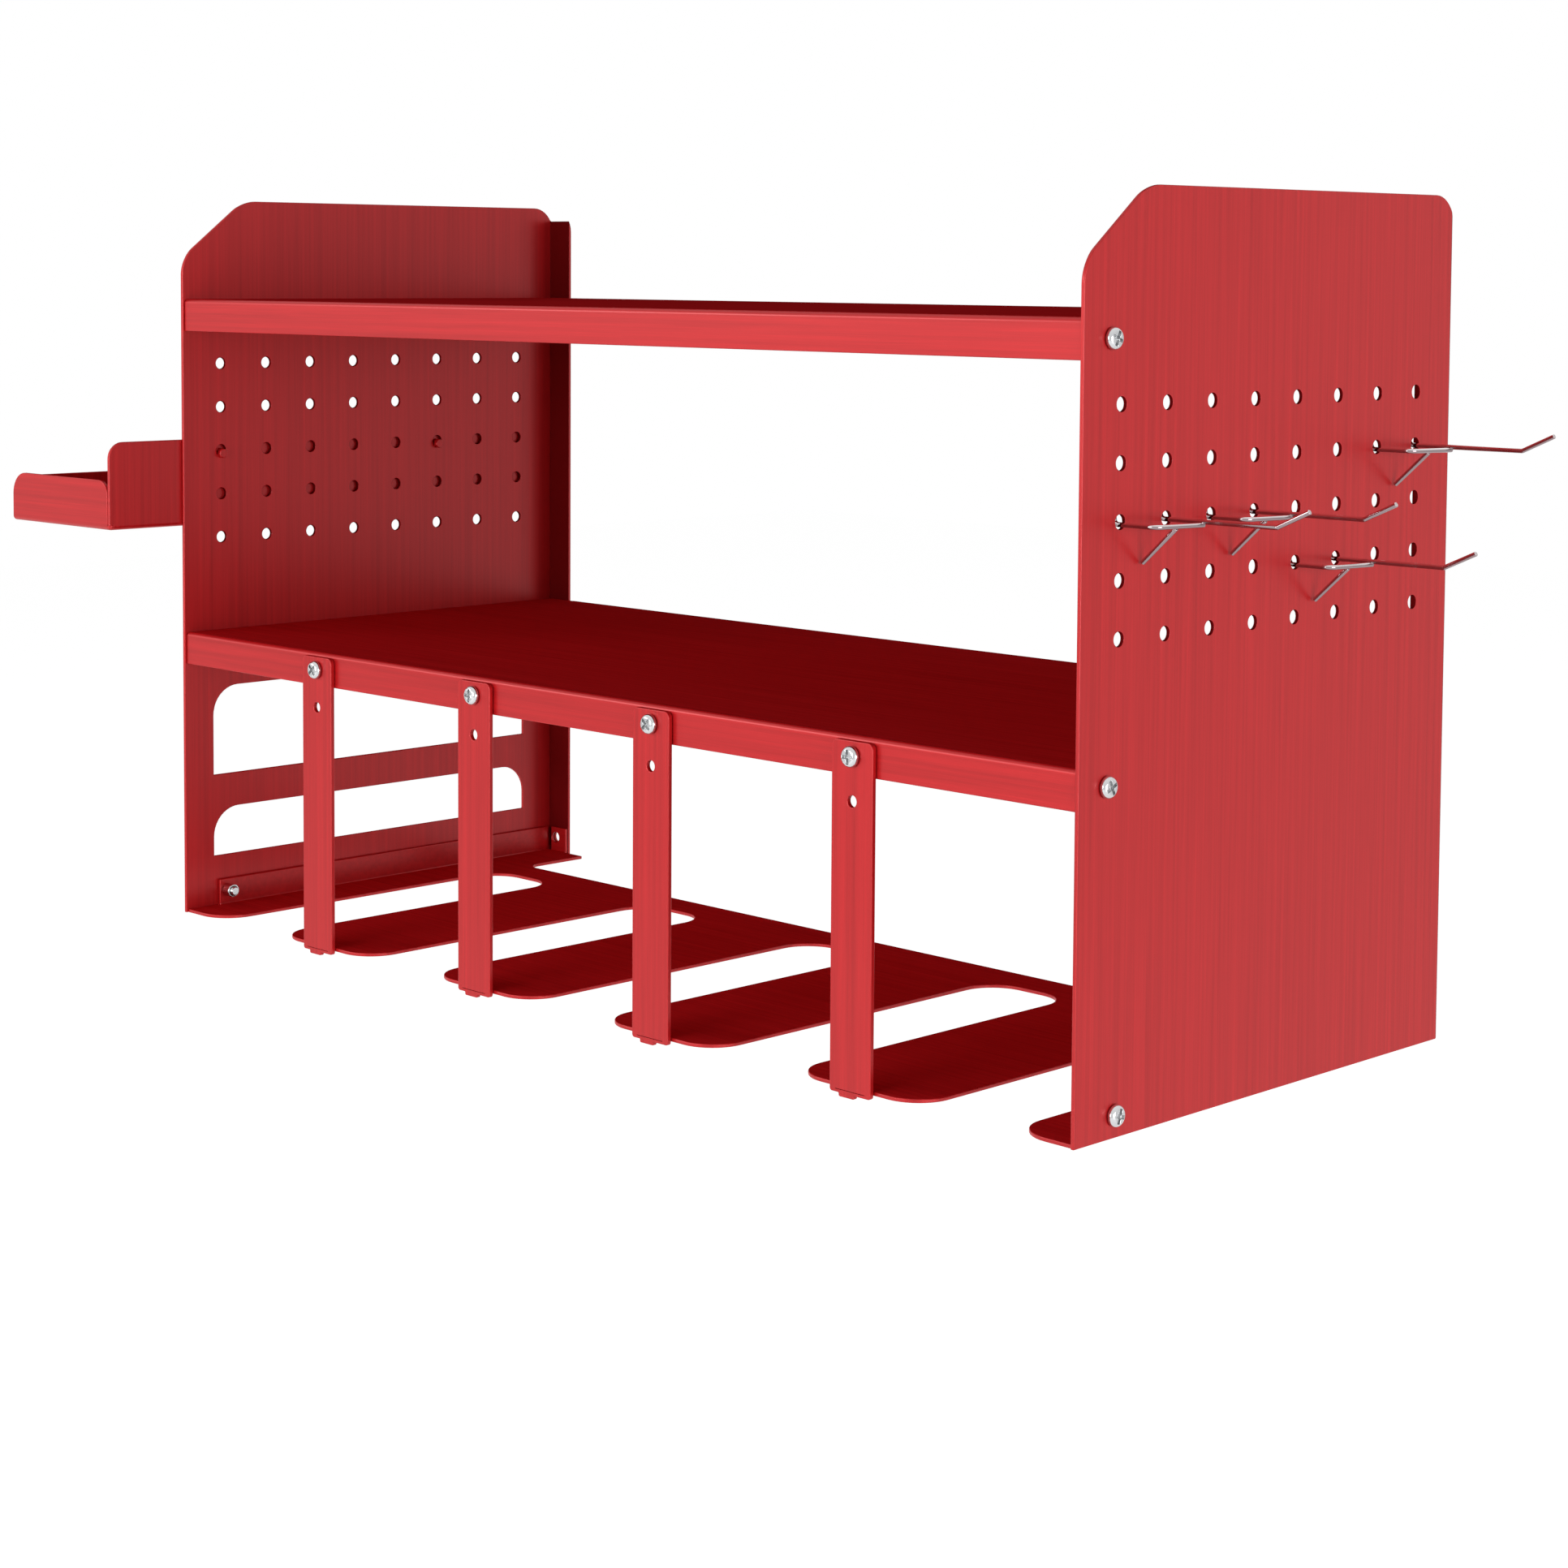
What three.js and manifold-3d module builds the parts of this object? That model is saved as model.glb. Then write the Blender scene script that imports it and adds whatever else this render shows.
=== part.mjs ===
// Wall rack for hand-held power tools, folded from painted sheet steel.
// Two side panels carry two shelves and a slotted base. Four straps hang the free teeth of the
// base from the lower shelf. A tray hooks into the left panel's peg holes, and four wire hooks
// hang in the right panel's.
// Millimetres, +Z up, +Y towards the wall, +X to the right of someone who faces the rack.
// The rack hangs on the wall, so its origin is on the wall plane, in the middle of the upper
// shelf's rear lip. Heights below are measured up from the bottom edge of the panels.

import * as THREE from "three";
import { mergeVertices } from "three/addons/utils/BufferGeometryUtils.js";
import Module from "manifold-3d";

// The rack as a whole
const rackWidth = 533.4;
const rackDepth = 222.5;
const rackHeight = 329;
const sheet = 1.5;
const bendRadius = 2;
const fitGap = 0.25;
const cornerRelief = 0.8;
const overrun = 3;

// Side panels
const chamferRun = 33.8;
const chamferDrop = 26.5;
const chamferTopRadius = 20;
const chamferFootRadius = 15;
const rearCornerRadius = 12;
const rearFlange = 15.7;
const wallHoleRadius = 2.75;

// Peg holes
const columnPitch = 25.4;
const rowPitch = 20.12;
const pegHoleRadius = 2.6;
const firstColumn = 20.7;
const rearHoleMargin = 20;
const topRowDrop = 15.1;
const lowRowMargin = 28;

// Windows low in the left panel
const windowMargin = 15.7;
const windowRearMargin = 19.5;
const windowRadius = 13.5;
const lowWindowBottom = 24.4;
const lowWindowHeight = 22.4;
const windowTopDrop = 12.1;

// Shelves
const upperShelfDrop = 45.1;
const lowerShelfTop = 130.7;
const lipHeight = 14.7;
const frontSetback = 1;
const joggleRun = 4;

// Slotted base
const slotCount = 5;
const slotWidth = 43;
const endToothWidth = 29.2;
const toothRadius = 15.5;
const slotReach = 162.5;
const slotEndRadius = 15;
const rearStripWidth = 18.5;
const rearNotchRadius = 8;
const baseFlange = 13.3;
const baseFlangeSetback = 17.5;

// Front straps
const strapWidth = 20.5;
const strapSheet = 2;
const strapTopDrop = 1.7;
const strapTopRadius = 3.5;
const strapFootDrop = 1.3;
const strapFootRadius = 1.2;
const strapTabWidth = 7.8;
const strapTabDrop = 1.4;
const strapTabRadius = 0.7;
const tongueWidth = 14.8;
const spareHoleDrop = 16.5;

// Screws and clinch nuts
const screwRadius = 2;
const screwHeadRadius = 4;
const screwHeadHeight = 2.6;
const screwHeadRim = 0.7;
const screwTail = 1.5;
const nutRadius = 3;
const nutLength = 5;
const screwSetback = 15;
const baseScrewSetback = 21.5;
const baseScrewHeight = 8.2;

// Tray
const trayLength = 245.4;
const trayReach = 82;
const trayBackHeight = 39.8;
const trayBackRadius = 7.5;
const trayEndHeight = 22.5;
const trayFrontHeight = 20.7;
const trayOuterRadius = 10;
const trayInnerRadius = 7;
const trayLugDrop = 5.45;
const trayRowShare = 0.5;
const trayRearLugShare = 0.72;
const lugNeckRadius = 1.5;
const lugHeadRadius = 2.15;
const lugHeadLength = 2;

// Wire hooks
const wireRadius = 0.9;
const wireBendRadius = 2;
const prongHeight = 8.5;
const armDrop = 0.3;
const armReach = 46.8;
const tipReach = 60.1;
const tipRise = 5.7;
const linkDrop = 0.7;
const linkReach = 15.9;
const linkPast = 0.5;
const linkBendRadius = 1.5;
const braceDrop = 15.6;
const bracePlaceShare = 0.53;
const weldDepth = 0.2;

// Each hook hangs in two neighbouring holes of a row. Its row is a share of the way down from
// the top row, and its holes a share of the way forward from the rear columns.
const hookPlaceShares = [
  { down: 0.25, forward: 0 },
  { down: 0.5, forward: 1 },
  { down: 0.5, forward: 0.7 },
  { down: 0.75, forward: 0.4 },
];

// Steps along the curves
const arcSteps = 3;
const roundSides = 12;
const wireSides = 8;
const bendSteps = 4;
const domeSteps = 4;

// Places that follow from the sizes
const outerHalf = rackWidth / 2;
const bayHalf = outerHalf - sheet;
const innerHalf = bayHalf - fitGap;
const panelFront = -rackDepth;
const sheetFront = panelFront + frontSetback;
const upperShelfTop = rackHeight - upperShelfDrop;
const screwHoleRadius = screwRadius + fitGap;
const foldReach = 2 * bendRadius;
const wallHoleX = outerHalf - rearFlange / 2;
const flangeFront = -(sheet + fitGap);
const upperScrewHeight = upperShelfTop - lipHeight / 2;
const lowerScrewHeight = lowerShelfTop - lipHeight / 2;
const screwY = panelFront + screwSetback;
const baseScrewY = panelFront + baseScrewSetback;
const toothCount = slotCount - 1;
const toothWidth = (rackWidth - 2 * endToothWidth - slotCount * slotWidth) / toothCount;
const toothPitch = toothWidth + slotWidth;
const strapX = (i) => (i - (toothCount - 1) / 2) * toothPitch;
const strapBack = sheetFront - fitGap;
const strapFront = strapBack - strapSheet;
const topRow = upperShelfTop - lipHeight - topRowDrop;
const rowSpan = topRow - lowRowMargin - lowerShelfTop;
const rowCount = Math.floor(rowSpan / rowPitch) + 1;
const columnSpan = rackDepth - firstColumn - rearHoleMargin;
const columnCount = Math.floor(columnSpan / columnPitch) + 1;
const rowZ = (row) => topRow - (row - 1) * rowPitch;
const columnY = (column) => panelFront + firstColumn + (column - 1) * columnPitch;
const rowAtShare = (share) => 1 + Math.round(share * (rowCount - 1));
const pairAtShare = (share) => columnCount - Math.floor(share * (columnCount - 2));
const trayLugColumns = [1, 1 + Math.round(trayRearLugShare * (columnCount - 1))];
// How far a lug's neck drops below its hole's centre when it bears on the hole's lower edge
const lugNeckSink = pegHoleRadius * Math.cos(Math.PI / roundSides) - lugNeckRadius - fitGap;

const right = new THREE.Vector3(1, 0, 0);
const left = new THREE.Vector3(-1, 0, 0);
const rearward = new THREE.Vector3(0, 1, 0);
const frontward = new THREE.Vector3(0, -1, 0);
const up = new THREE.Vector3(0, 0, 1);
const down = new THREE.Vector3(0, 0, -1);

const wasm = await Module();
wasm.setup();

// Solids and meshes

// Turns a closed geometry into a solid that can be joined and cut.
function solid(geometry) {
  const bare = geometry.clone();
  bare.deleteAttribute("normal");
  bare.deleteAttribute("uv");
  const merged = mergeVertices(bare);
  const index = merged.index.array;
  const kept = [];
  for (let i = 0; i < index.length; i += 3) {
    const [a, b, c] = index.slice(i, i + 3);
    if (a !== b && b !== c && c !== a) kept.push(a, b, c);
  }
  const vertProperties = Float32Array.from(merged.attributes.position.array);
  const triVerts = Uint32Array.from(kept);
  return new wasm.Manifold(new wasm.Mesh({ numProp: 3, vertProperties, triVerts }));
}

function join(solids) {
  return solids.reduce((whole, next) => whole.add(next));
}

function cut(body, cutters) {
  return cutters.reduce((rest, next) => rest.subtract(next), body);
}

function geometryOf(body) {
  const { numProp, vertProperties, triVerts } = body.getMesh();
  const geometry = new THREE.BufferGeometry();
  geometry.setAttribute("position", new THREE.BufferAttribute(vertProperties, numProp));
  geometry.setIndex(new THREE.BufferAttribute(triVerts, 1));
  const flat = geometry.toNonIndexed();
  flat.computeVertexNormals();
  return flat;
}

const finishes = {
  redPaint: { color: 0xb93739, roughness: 0.42, metalness: 0.25 },
  zincSteel: { color: 0xc9cbcc, roughness: 0.25, metalness: 1 },
  chromeWire: { color: 0xb9bbbd, roughness: 0.2, metalness: 1 },
};

function mesh(name, body, finish) {
  const material = new THREE.MeshStandardMaterial(finish);
  const piece = new THREE.Mesh(geometryOf(body), material);
  piece.name = name;
  return piece;
}

// Outlines and extrusions

// A closed outline of straight sides. A corner [x, y, radius] is rounded, and [x, y] is sharp.
function outline(corners) {
  const shape = new THREE.Shape();
  corners.forEach(([x, y, radius = 0], i) => {
    const corner = new THREE.Vector2(x, y);
    const [beforeX, beforeY] = corners.at(i - 1);
    const [afterX, afterY] = corners[(i + 1) % corners.length];
    const into = corner.clone().sub(new THREE.Vector2(beforeX, beforeY)).normalize();
    const onward = new THREE.Vector2(afterX, afterY).sub(corner).normalize();
    const turn = Math.atan2(into.cross(onward), into.dot(onward));
    const reach = radius * Math.tan(Math.abs(turn) / 2);
    const start = corner.clone().addScaledVector(into, -reach);
    if (i === 0) shape.moveTo(start.x, start.y);
    else shape.lineTo(start.x, start.y);
    if (radius === 0) return;
    const swing = radius * Math.sign(turn);
    const centre = new THREE.Vector2(start.x - into.y * swing, start.y + into.x * swing);
    const from = Math.atan2(start.y - centre.y, start.x - centre.x);
    shape.absarc(centre.x, centre.y, radius, from, from + turn, turn < 0);
  });
  shape.closePath();
  return shape;
}

function rectangle(x0, y0, x1, y1) {
  return outline([[x0, y0], [x1, y0], [x1, y1], [x0, y1]]);
}

function roundHole(x, y, radius) {
  const hole = new THREE.Path();
  hole.absarc(x, y, radius, 0, Math.PI);
  hole.absarc(x, y, radius, Math.PI, 2 * Math.PI);
  return hole;
}

// Extrudes a shape along `across` x `upward`, with its x along `across` and its y along `upward`.
function plate(shape, thickness, across = right, upward = rearward, origin = new THREE.Vector3()) {
  const options = { depth: thickness, bevelEnabled: false, curveSegments: arcSteps };
  const along = across.clone().cross(upward);
  const frame = new THREE.Matrix4().makeBasis(across, upward, along).setPosition(origin);
  return solid(new THREE.ExtrudeGeometry(shape, options).applyMatrix4(frame));
}

// A folded edge: a flat leg that reaches inwards and a lip square to it. `corner` is the middle
// of the sharp edge that the two outer faces would meet in without the bend.
function fold(corner, inward, lipward, lip, length) {
  const section = outline([
    [0, -lip], [0, 0, bendRadius], [foldReach, 0],
    [foldReach, -sheet], [sheet, -sheet, bendRadius - sheet], [sheet, -lip],
  ]);
  const upward = lipward.clone().negate();
  const along = inward.clone().cross(upward);
  const origin = corner.clone().addScaledVector(along, -length / 2);
  return plate(section, length, inward, upward, origin);
}

// A round bar centred on `centre` with its axis along `axis`.
function bar(centre, axis, radius, length) {
  const geometry = new THREE.CylinderGeometry(radius, radius, length, roundSides);
  const turn = new THREE.Quaternion().setFromUnitVectors(rearward, axis);
  geometry.applyQuaternion(turn);
  geometry.translate(centre.x, centre.y, centre.z);
  return solid(geometry);
}

// Side panels

function pegHoles() {
  const holes = [];
  for (let row = 1; row <= rowCount; row += 1) {
    for (let column = 1; column <= columnCount; column += 1) {
      holes.push(roundHole(columnY(column), rowZ(row), pegHoleRadius));
    }
  }
  return holes;
}

function panelScrewHoles() {
  return [
    roundHole(screwY, upperScrewHeight, screwHoleRadius),
    roundHole(screwY, lowerScrewHeight, screwHoleRadius),
    roundHole(baseScrewY, baseScrewHeight, screwHoleRadius),
  ];
}

function panelWindow(bottom, top) {
  const front = panelFront + windowMargin;
  const rear = -windowRearMargin;
  return outline([
    [front, bottom], [rear, bottom], [rear, top, windowRadius], [front, top, windowRadius],
  ]);
}

function panelWindows() {
  const lowTop = lowWindowBottom + lowWindowHeight;
  const highTop = lowerShelfTop - lipHeight - windowTopDrop;
  return [
    panelWindow(lowWindowBottom, lowTop),
    panelWindow(lowTop + windowMargin, highTop),
  ];
}

function sidePanel(side, openings) {
  const shape = outline([
    [panelFront, 0],
    [0, 0],
    [0, rackHeight, rearCornerRadius],
    [panelFront + chamferRun, rackHeight, chamferTopRadius],
    [panelFront, rackHeight - chamferDrop, chamferFootRadius],
  ]);
  shape.holes.push(...pegHoles(), ...panelScrewHoles(), ...openings);
  const blankWidth = rearFlange + 2 * overrun;
  const blankStart = side * (outerHalf + overrun - blankWidth / 2) - blankWidth / 2;
  const blank = plate(shape, blankWidth, rearward, up, new THREE.Vector3(blankStart, 0, 0));

  const outer = side * outerHalf;
  const inner = side * bayHalf;
  const flangeEnd = side * (outerHalf - rearFlange);
  const section = outline([
    [outer, panelFront], [outer, 0, bendRadius], [flangeEnd, 0],
    [flangeEnd, -sheet], [inner, -sheet, bendRadius - sheet], [inner, panelFront],
  ]);
  const folded = plate(section, rackHeight).intersect(blank);
  const heights = [upperScrewHeight, lowerScrewHeight, baseScrewHeight];
  return cut(folded, heights.map((height) => wallHole(side, height)));
}

function wallHole(side, height) {
  const depth = 2 * (sheet - flangeFront) + overrun;
  return bar(new THREE.Vector3(side * wallHoleX, 0, height), rearward, wallHoleRadius, depth);
}

function sideScrewHole(side, y, height) {
  const centre = new THREE.Vector3(side * innerHalf, y, height);
  return bar(centre, right, screwHoleRadius, 2 * sheet + overrun);
}

// Shelves

// The rear lip steps forward at each end, so that its tab lies in front of the panel's flange.
function shelfTab(side) {
  const bendEnd = -(bendRadius + cornerRelief);
  const stepEnd = outerHalf - rearFlange - fitGap;
  const stepStart = stepEnd - joggleRun;
  const tabEnd = innerHalf - sheet - fitGap;
  const shape = outline([
    [side * (stepStart - foldReach), 0], [side * stepStart, 0],
    [side * stepEnd, flangeFront], [side * tabEnd, flangeFront],
    [side * tabEnd, flangeFront - sheet], [side * stepEnd, flangeFront - sheet],
    [side * stepStart, -sheet], [side * (stepStart - foldReach), -sheet],
  ]);
  const origin = new THREE.Vector3(0, 0, -lipHeight);
  return plate(shape, lipHeight + bendEnd, right, rearward, origin);
}

// A shelf with its top face at z = 0.
function shelf(frontHoles) {
  const stepStart = outerHalf - rearFlange - fitGap - joggleRun;
  const flatHalf = innerHalf - bendRadius;
  const flatFront = sheetFront + bendRadius;
  const sideFront = sheetFront + foldReach + cornerRelief;
  const sideRear = flangeFront - sheet - cornerRelief;
  const sideMiddle = (sideFront + sideRear) / 2;
  const sideLength = sideRear - sideFront;

  const top = outline([
    [-flatHalf, flatFront], [flatHalf, flatFront], [flatHalf, flangeFront],
    [stepStart, flangeFront], [stepStart, -bendRadius], [-stepStart, -bendRadius],
    [-stepStart, flangeFront], [-flatHalf, flangeFront],
  ]);
  const frontCorner = new THREE.Vector3(0, sheetFront, 0);
  const rearCorner = new THREE.Vector3(0, 0, 0);
  const leftCorner = new THREE.Vector3(-innerHalf, sideMiddle, 0);
  const rightCorner = new THREE.Vector3(innerHalf, sideMiddle, 0);
  const body = join([
    plate(top, sheet, right, rearward, new THREE.Vector3(0, 0, -sheet)),
    fold(frontCorner, rearward, down, lipHeight, 2 * innerHalf),
    fold(rearCorner, frontward, down, lipHeight, 2 * stepStart),
    fold(leftCorner, right, down, lipHeight, sideLength),
    fold(rightCorner, left, down, lipHeight, sideLength),
    shelfTab(-1),
    shelfTab(1),
  ]);
  const middle = -lipHeight / 2;
  const sideHoles = [-1, 1].flatMap((side) => [
    wallHole(side, middle),
    sideScrewHole(side, screwY, middle),
  ]);
  return cut(body, [...sideHoles, ...frontHoles]);
}

function strapHoles() {
  const holes = [];
  for (let i = 0; i < toothCount; i += 1) {
    const centre = new THREE.Vector3(strapX(i), sheetFront, -lipHeight / 2);
    holes.push(bar(centre, rearward, screwHoleRadius, 2 * sheet + overrun));
  }
  return holes;
}

// Slotted base

// The front edge of the comb, from left to right: a rounded slot, then a tooth with the tongue
// that its strap holds, and so on.
function combEdge() {
  const slotEnd = sheetFront + slotReach;
  const corners = [];
  for (let i = 0; i < slotCount; i += 1) {
    const slotX = (i - (slotCount - 1) / 2) * toothPitch;
    const leftEdge = slotX - slotWidth / 2;
    const rightEdge = slotX + slotWidth / 2;
    corners.push([leftEdge, sheetFront, toothRadius], [leftEdge, slotEnd, slotEndRadius]);
    corners.push([rightEdge, slotEnd, slotEndRadius], [rightEdge, sheetFront, toothRadius]);
    if (i === slotCount - 1) break;
    const tongueLeft = strapX(i) - tongueWidth / 2;
    const tongueRight = strapX(i) + tongueWidth / 2;
    corners.push([tongueLeft, sheetFront], [tongueLeft, strapFront]);
    corners.push([tongueRight, strapFront], [tongueRight, sheetFront]);
  }
  return corners;
}

function slottedBase() {
  const armInner = outerHalf - endToothWidth;
  const flatHalf = innerHalf - bendRadius;
  const stripRear = sheetFront + slotReach + rearStripWidth;
  const flatRear = flangeFront - bendRadius;
  const sideFront = panelFront + baseFlangeSetback;
  const sideRear = flangeFront - sheet - cornerRelief;
  const notch = sideFront - cornerRelief;
  const flat = outline([
    [-innerHalf, sheetFront],
    ...combEdge(),
    [innerHalf, sheetFront], [innerHalf, notch], [flatHalf, notch], [flatHalf, flatRear],
    [armInner, flatRear], [armInner, stripRear, rearNotchRadius],
    [-armInner, stripRear, rearNotchRadius], [-armInner, flatRear],
    [-flatHalf, flatRear], [-flatHalf, notch], [-innerHalf, notch],
  ]);

  const sideMiddle = (sideFront + sideRear) / 2;
  const sideLength = sideRear - sideFront;
  const tabInner = outerHalf - rearFlange;
  const tabOuter = innerHalf - bendRadius - cornerRelief;
  const tabMiddle = (tabInner + tabOuter) / 2;
  const tabLength = tabOuter - tabInner;
  const body = join([
    plate(flat, sheet),
    fold(new THREE.Vector3(-innerHalf, sideMiddle, 0), right, up, baseFlange, sideLength),
    fold(new THREE.Vector3(innerHalf, sideMiddle, 0), left, up, baseFlange, sideLength),
    fold(new THREE.Vector3(-tabMiddle, flangeFront, 0), frontward, up, baseFlange, tabLength),
    fold(new THREE.Vector3(tabMiddle, flangeFront, 0), frontward, up, baseFlange, tabLength),
  ]);
  const holes = [-1, 1].flatMap((side) => [
    wallHole(side, baseScrewHeight),
    sideScrewHole(side, baseScrewY, baseScrewHeight),
  ]);
  return cut(body, holes);
}

// Front straps

function frontStrap() {
  const side = strapWidth / 2;
  const tab = strapTabWidth / 2;
  const slot = tongueWidth / 2 + fitGap;
  const top = lowerShelfTop - strapTopDrop;
  const foot = -strapFootDrop;
  const tabFoot = foot - strapTabDrop;
  const shape = outline([
    [-side, foot, strapFootRadius], [-tab, foot],
    [-tab, tabFoot, strapTabRadius], [tab, tabFoot, strapTabRadius],
    [tab, foot], [side, foot, strapFootRadius],
    [side, top, strapTopRadius], [-side, top, strapTopRadius],
  ]);
  shape.holes.push(
    roundHole(0, lowerScrewHeight, screwHoleRadius),
    roundHole(0, lowerScrewHeight - spareHoleDrop, screwHoleRadius),
    rectangle(-slot, -fitGap, slot, sheet + fitGap),
  );
  return plate(shape, strapSheet, right, up);
}

// Screws and nuts, with their axis on Y and the screw's head towards +Y

function panScrew(grip) {
  const tail = -(grip + nutLength + screwTail);
  const profile = [
    [0, tail], [screwRadius, tail], [screwRadius, 0], [screwHeadRadius, 0],
    [screwHeadRadius, screwHeadRim],
  ];
  for (let i = 1; i <= domeSteps; i += 1) {
    const angle = (i / domeSteps) * (Math.PI / 2);
    const rise = screwHeadHeight - screwHeadRim;
    const radius = i === domeSteps ? 0 : screwHeadRadius * Math.cos(angle);
    profile.push([radius, screwHeadRim + rise * Math.sin(angle)]);
  }
  const points = profile.map(([radius, y]) => new THREE.Vector2(radius, y));
  return solid(new THREE.LatheGeometry(points, roundSides));
}

function clinchNut() {
  const bore = screwRadius + fitGap;
  const profile = [[bore, -nutLength], [nutRadius, -nutLength], [nutRadius, 0], [bore, 0]];
  const points = [...profile, profile[0]].map(([radius, y]) => new THREE.Vector2(radius, y));
  return solid(new THREE.LatheGeometry(points, roundSides));
}

// Tray, with its back face at x = 0, its floor's underside at z = 0 and its middle at y = 0

function trayEndWall(end) {
  const innerX = -(sheet + fitGap);
  const foldEnd = -(trayReach - bendRadius);
  const shape = outline([
    [-trayReach, 0], [foldEnd, 0], [foldEnd, bendRadius], [innerX, bendRadius],
    [innerX, trayEndHeight, trayInnerRadius], [-trayReach, trayEndHeight, trayOuterRadius],
  ]);
  const outerY = (end * trayLength) / 2;
  const plateY = end < 0 ? outerY + sheet : outerY;
  const wall = plate(shape, sheet, right, up, new THREE.Vector3(0, plateY, 0));
  const corner = new THREE.Vector3(-trayReach / 2, outerY, 0);
  const inward = end < 0 ? rearward : frontward;
  const foot = fold(corner, inward, up, foldReach, trayReach - 2 * bendRadius);
  return join([wall, foot]);
}

function trayLug(y) {
  const neckLength = fitGap + sheet + fitGap;
  const neckZ = trayBackHeight - trayLugDrop - lugNeckSink;
  const headZ = neckZ + lugNeckRadius - lugHeadRadius;
  const root = sheet / 2;
  const neckMiddle = new THREE.Vector3((neckLength - root) / 2, y, neckZ);
  const headMiddle = new THREE.Vector3(neckLength + lugHeadLength / 2, y, headZ);
  return join([
    bar(neckMiddle, right, lugNeckRadius, neckLength + root),
    bar(headMiddle, right, lugHeadRadius, lugHeadLength),
  ]);
}

function tray() {
  const half = trayLength / 2;
  const channel = outline([
    [0, 0, bendRadius], [0, trayBackHeight], [-sheet, trayBackHeight],
    [-sheet, sheet, bendRadius - sheet], [-(trayReach - sheet), sheet, bendRadius - sheet],
    [-(trayReach - sheet), trayFrontHeight], [-trayReach, trayFrontHeight],
    [-trayReach, 0, bendRadius],
  ]);
  const side = outline([
    [-half, 0], [half, 0],
    [half, trayBackHeight, trayBackRadius], [-half, trayBackHeight, trayBackRadius],
  ]);
  const wide = plate(channel, trayLength, right, up, new THREE.Vector3(0, half, 0));
  const blankStart = new THREE.Vector3(-(trayReach + overrun), 0, 0);
  const blank = plate(side, trayReach + 2 * overrun, rearward, up, blankStart);

  const trimInner = -(sheet + fitGap);
  const trimOuter = -(trayReach + overrun);
  const trims = [-1, 1].map((end) => {
    const inner = end * (half - bendRadius);
    const outer = end * (half + overrun);
    const shape = rectangle(trimOuter, inner, trimInner, outer);
    return plate(shape, trayBackHeight + 2 * overrun, right, rearward,
      new THREE.Vector3(0, 0, -overrun));
  });
  const middleColumn = (trayLugColumns[0] + trayLugColumns[1]) / 2;
  const lugs = trayLugColumns.map((column) => trayLug((column - middleColumn) * columnPitch));
  return join([cut(wide.intersect(blank), trims), trayEndWall(-1), trayEndWall(1), ...lugs]);
}

// Wire hooks

// A wire bent at each of its inner corners. Its stations are the two ends of every bend, with
// the points between them, so that the wire has rings only where it turns.
class BentWire extends THREE.Curve {
  constructor(corners, radii) {
    super();
    this.stations = [corners[0]];
    for (let i = 1; i < corners.length - 1; i += 1) {
      const into = corners[i].clone().sub(corners[i - 1]).normalize();
      const onward = corners[i + 1].clone().sub(corners[i]).normalize();
      const turn = into.angleTo(onward);
      const radius = radii[i - 1];
      const reach = radius * Math.tan(turn / 2);
      const start = corners[i].clone().addScaledVector(into, -reach);
      const inward = onward.clone().addScaledVector(into, -into.dot(onward)).normalize();
      const centre = start.clone().addScaledVector(inward, radius);
      for (let step = 0; step <= bendSteps; step += 1) {
        const angle = (turn * step) / bendSteps;
        const point = centre.clone().addScaledVector(inward, -radius * Math.cos(angle));
        this.stations.push(point.addScaledVector(into, radius * Math.sin(angle)));
      }
    }
    this.stations.push(corners.at(-1));
  }

  get steps() {
    return this.stations.length - 1;
  }

  getUtoTmapping(u) {
    return u;
  }

  getPoint(t, target = new THREE.Vector3()) {
    return target.copy(this.stations[Math.round(t * this.steps)]);
  }

  getTangent(t, target = new THREE.Vector3()) {
    const station = Math.round(t * this.steps);
    const here = this.stations[station];
    const before = this.stations[Math.max(station - 1, 0)];
    const after = this.stations[Math.min(station + 1, this.steps)];
    const into = here.clone().sub(before).normalize();
    const onward = after.clone().sub(here).normalize();
    return target.copy(into.add(onward).normalize());
  }
}

function wire(corners, radii = []) {
  const path = new BentWire(corners.map((corner) => new THREE.Vector3(...corner)), radii);
  const section = new THREE.Shape();
  for (let i = 0; i < wireSides; i += 1) {
    const angle = (2 * Math.PI * (i + 0.5)) / wireSides;
    const x = wireRadius * Math.cos(angle);
    const y = wireRadius * Math.sin(angle);
    if (i === 0) section.moveTo(x, y);
    else section.lineTo(x, y);
  }
  section.closePath();
  const options = { steps: path.steps, bevelEnabled: false, extrudePath: path };
  return solid(new THREE.ExtrudeGeometry(section, options));
}

// A hook with its rear hole's centre at y = 0, z = 0 and the panel's outer face at x = 0.
function pegHook() {
  const prongX = -(sheet + fitGap + wireRadius);
  const armZ = -armDrop;
  const linkZ = -linkDrop;
  const meetZ = armZ - 2 * wireRadius + weldDepth;
  const linkY = -columnPitch;
  const arm = wire([
    [prongX, 0, prongHeight], [prongX, 0, armZ], [armReach, 0, armZ], [tipReach, 0, tipRise],
  ], [wireBendRadius, wireBendRadius]);
  const link = wire([
    [prongX, linkY, prongHeight], [prongX, linkY, linkZ], [linkReach, linkY, meetZ],
    [linkReach, linkPast, meetZ],
  ], [wireBendRadius, linkBendRadius]);

  const braceY = linkY * bracePlaceShare;
  const brace = wire([
    [fitGap + wireRadius, braceY, -braceDrop], [linkReach, braceY, meetZ - wireRadius / 2],
  ]);
  return join([arm, link, brace]);
}

// The rack, put together

const rack = new THREE.Group();
rack.position.z = -upperScrewHeight;

rack.add(mesh("left_panel", sidePanel(-1, panelWindows()), finishes.redPaint));
rack.add(mesh("right_panel", sidePanel(1, []), finishes.redPaint));

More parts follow.
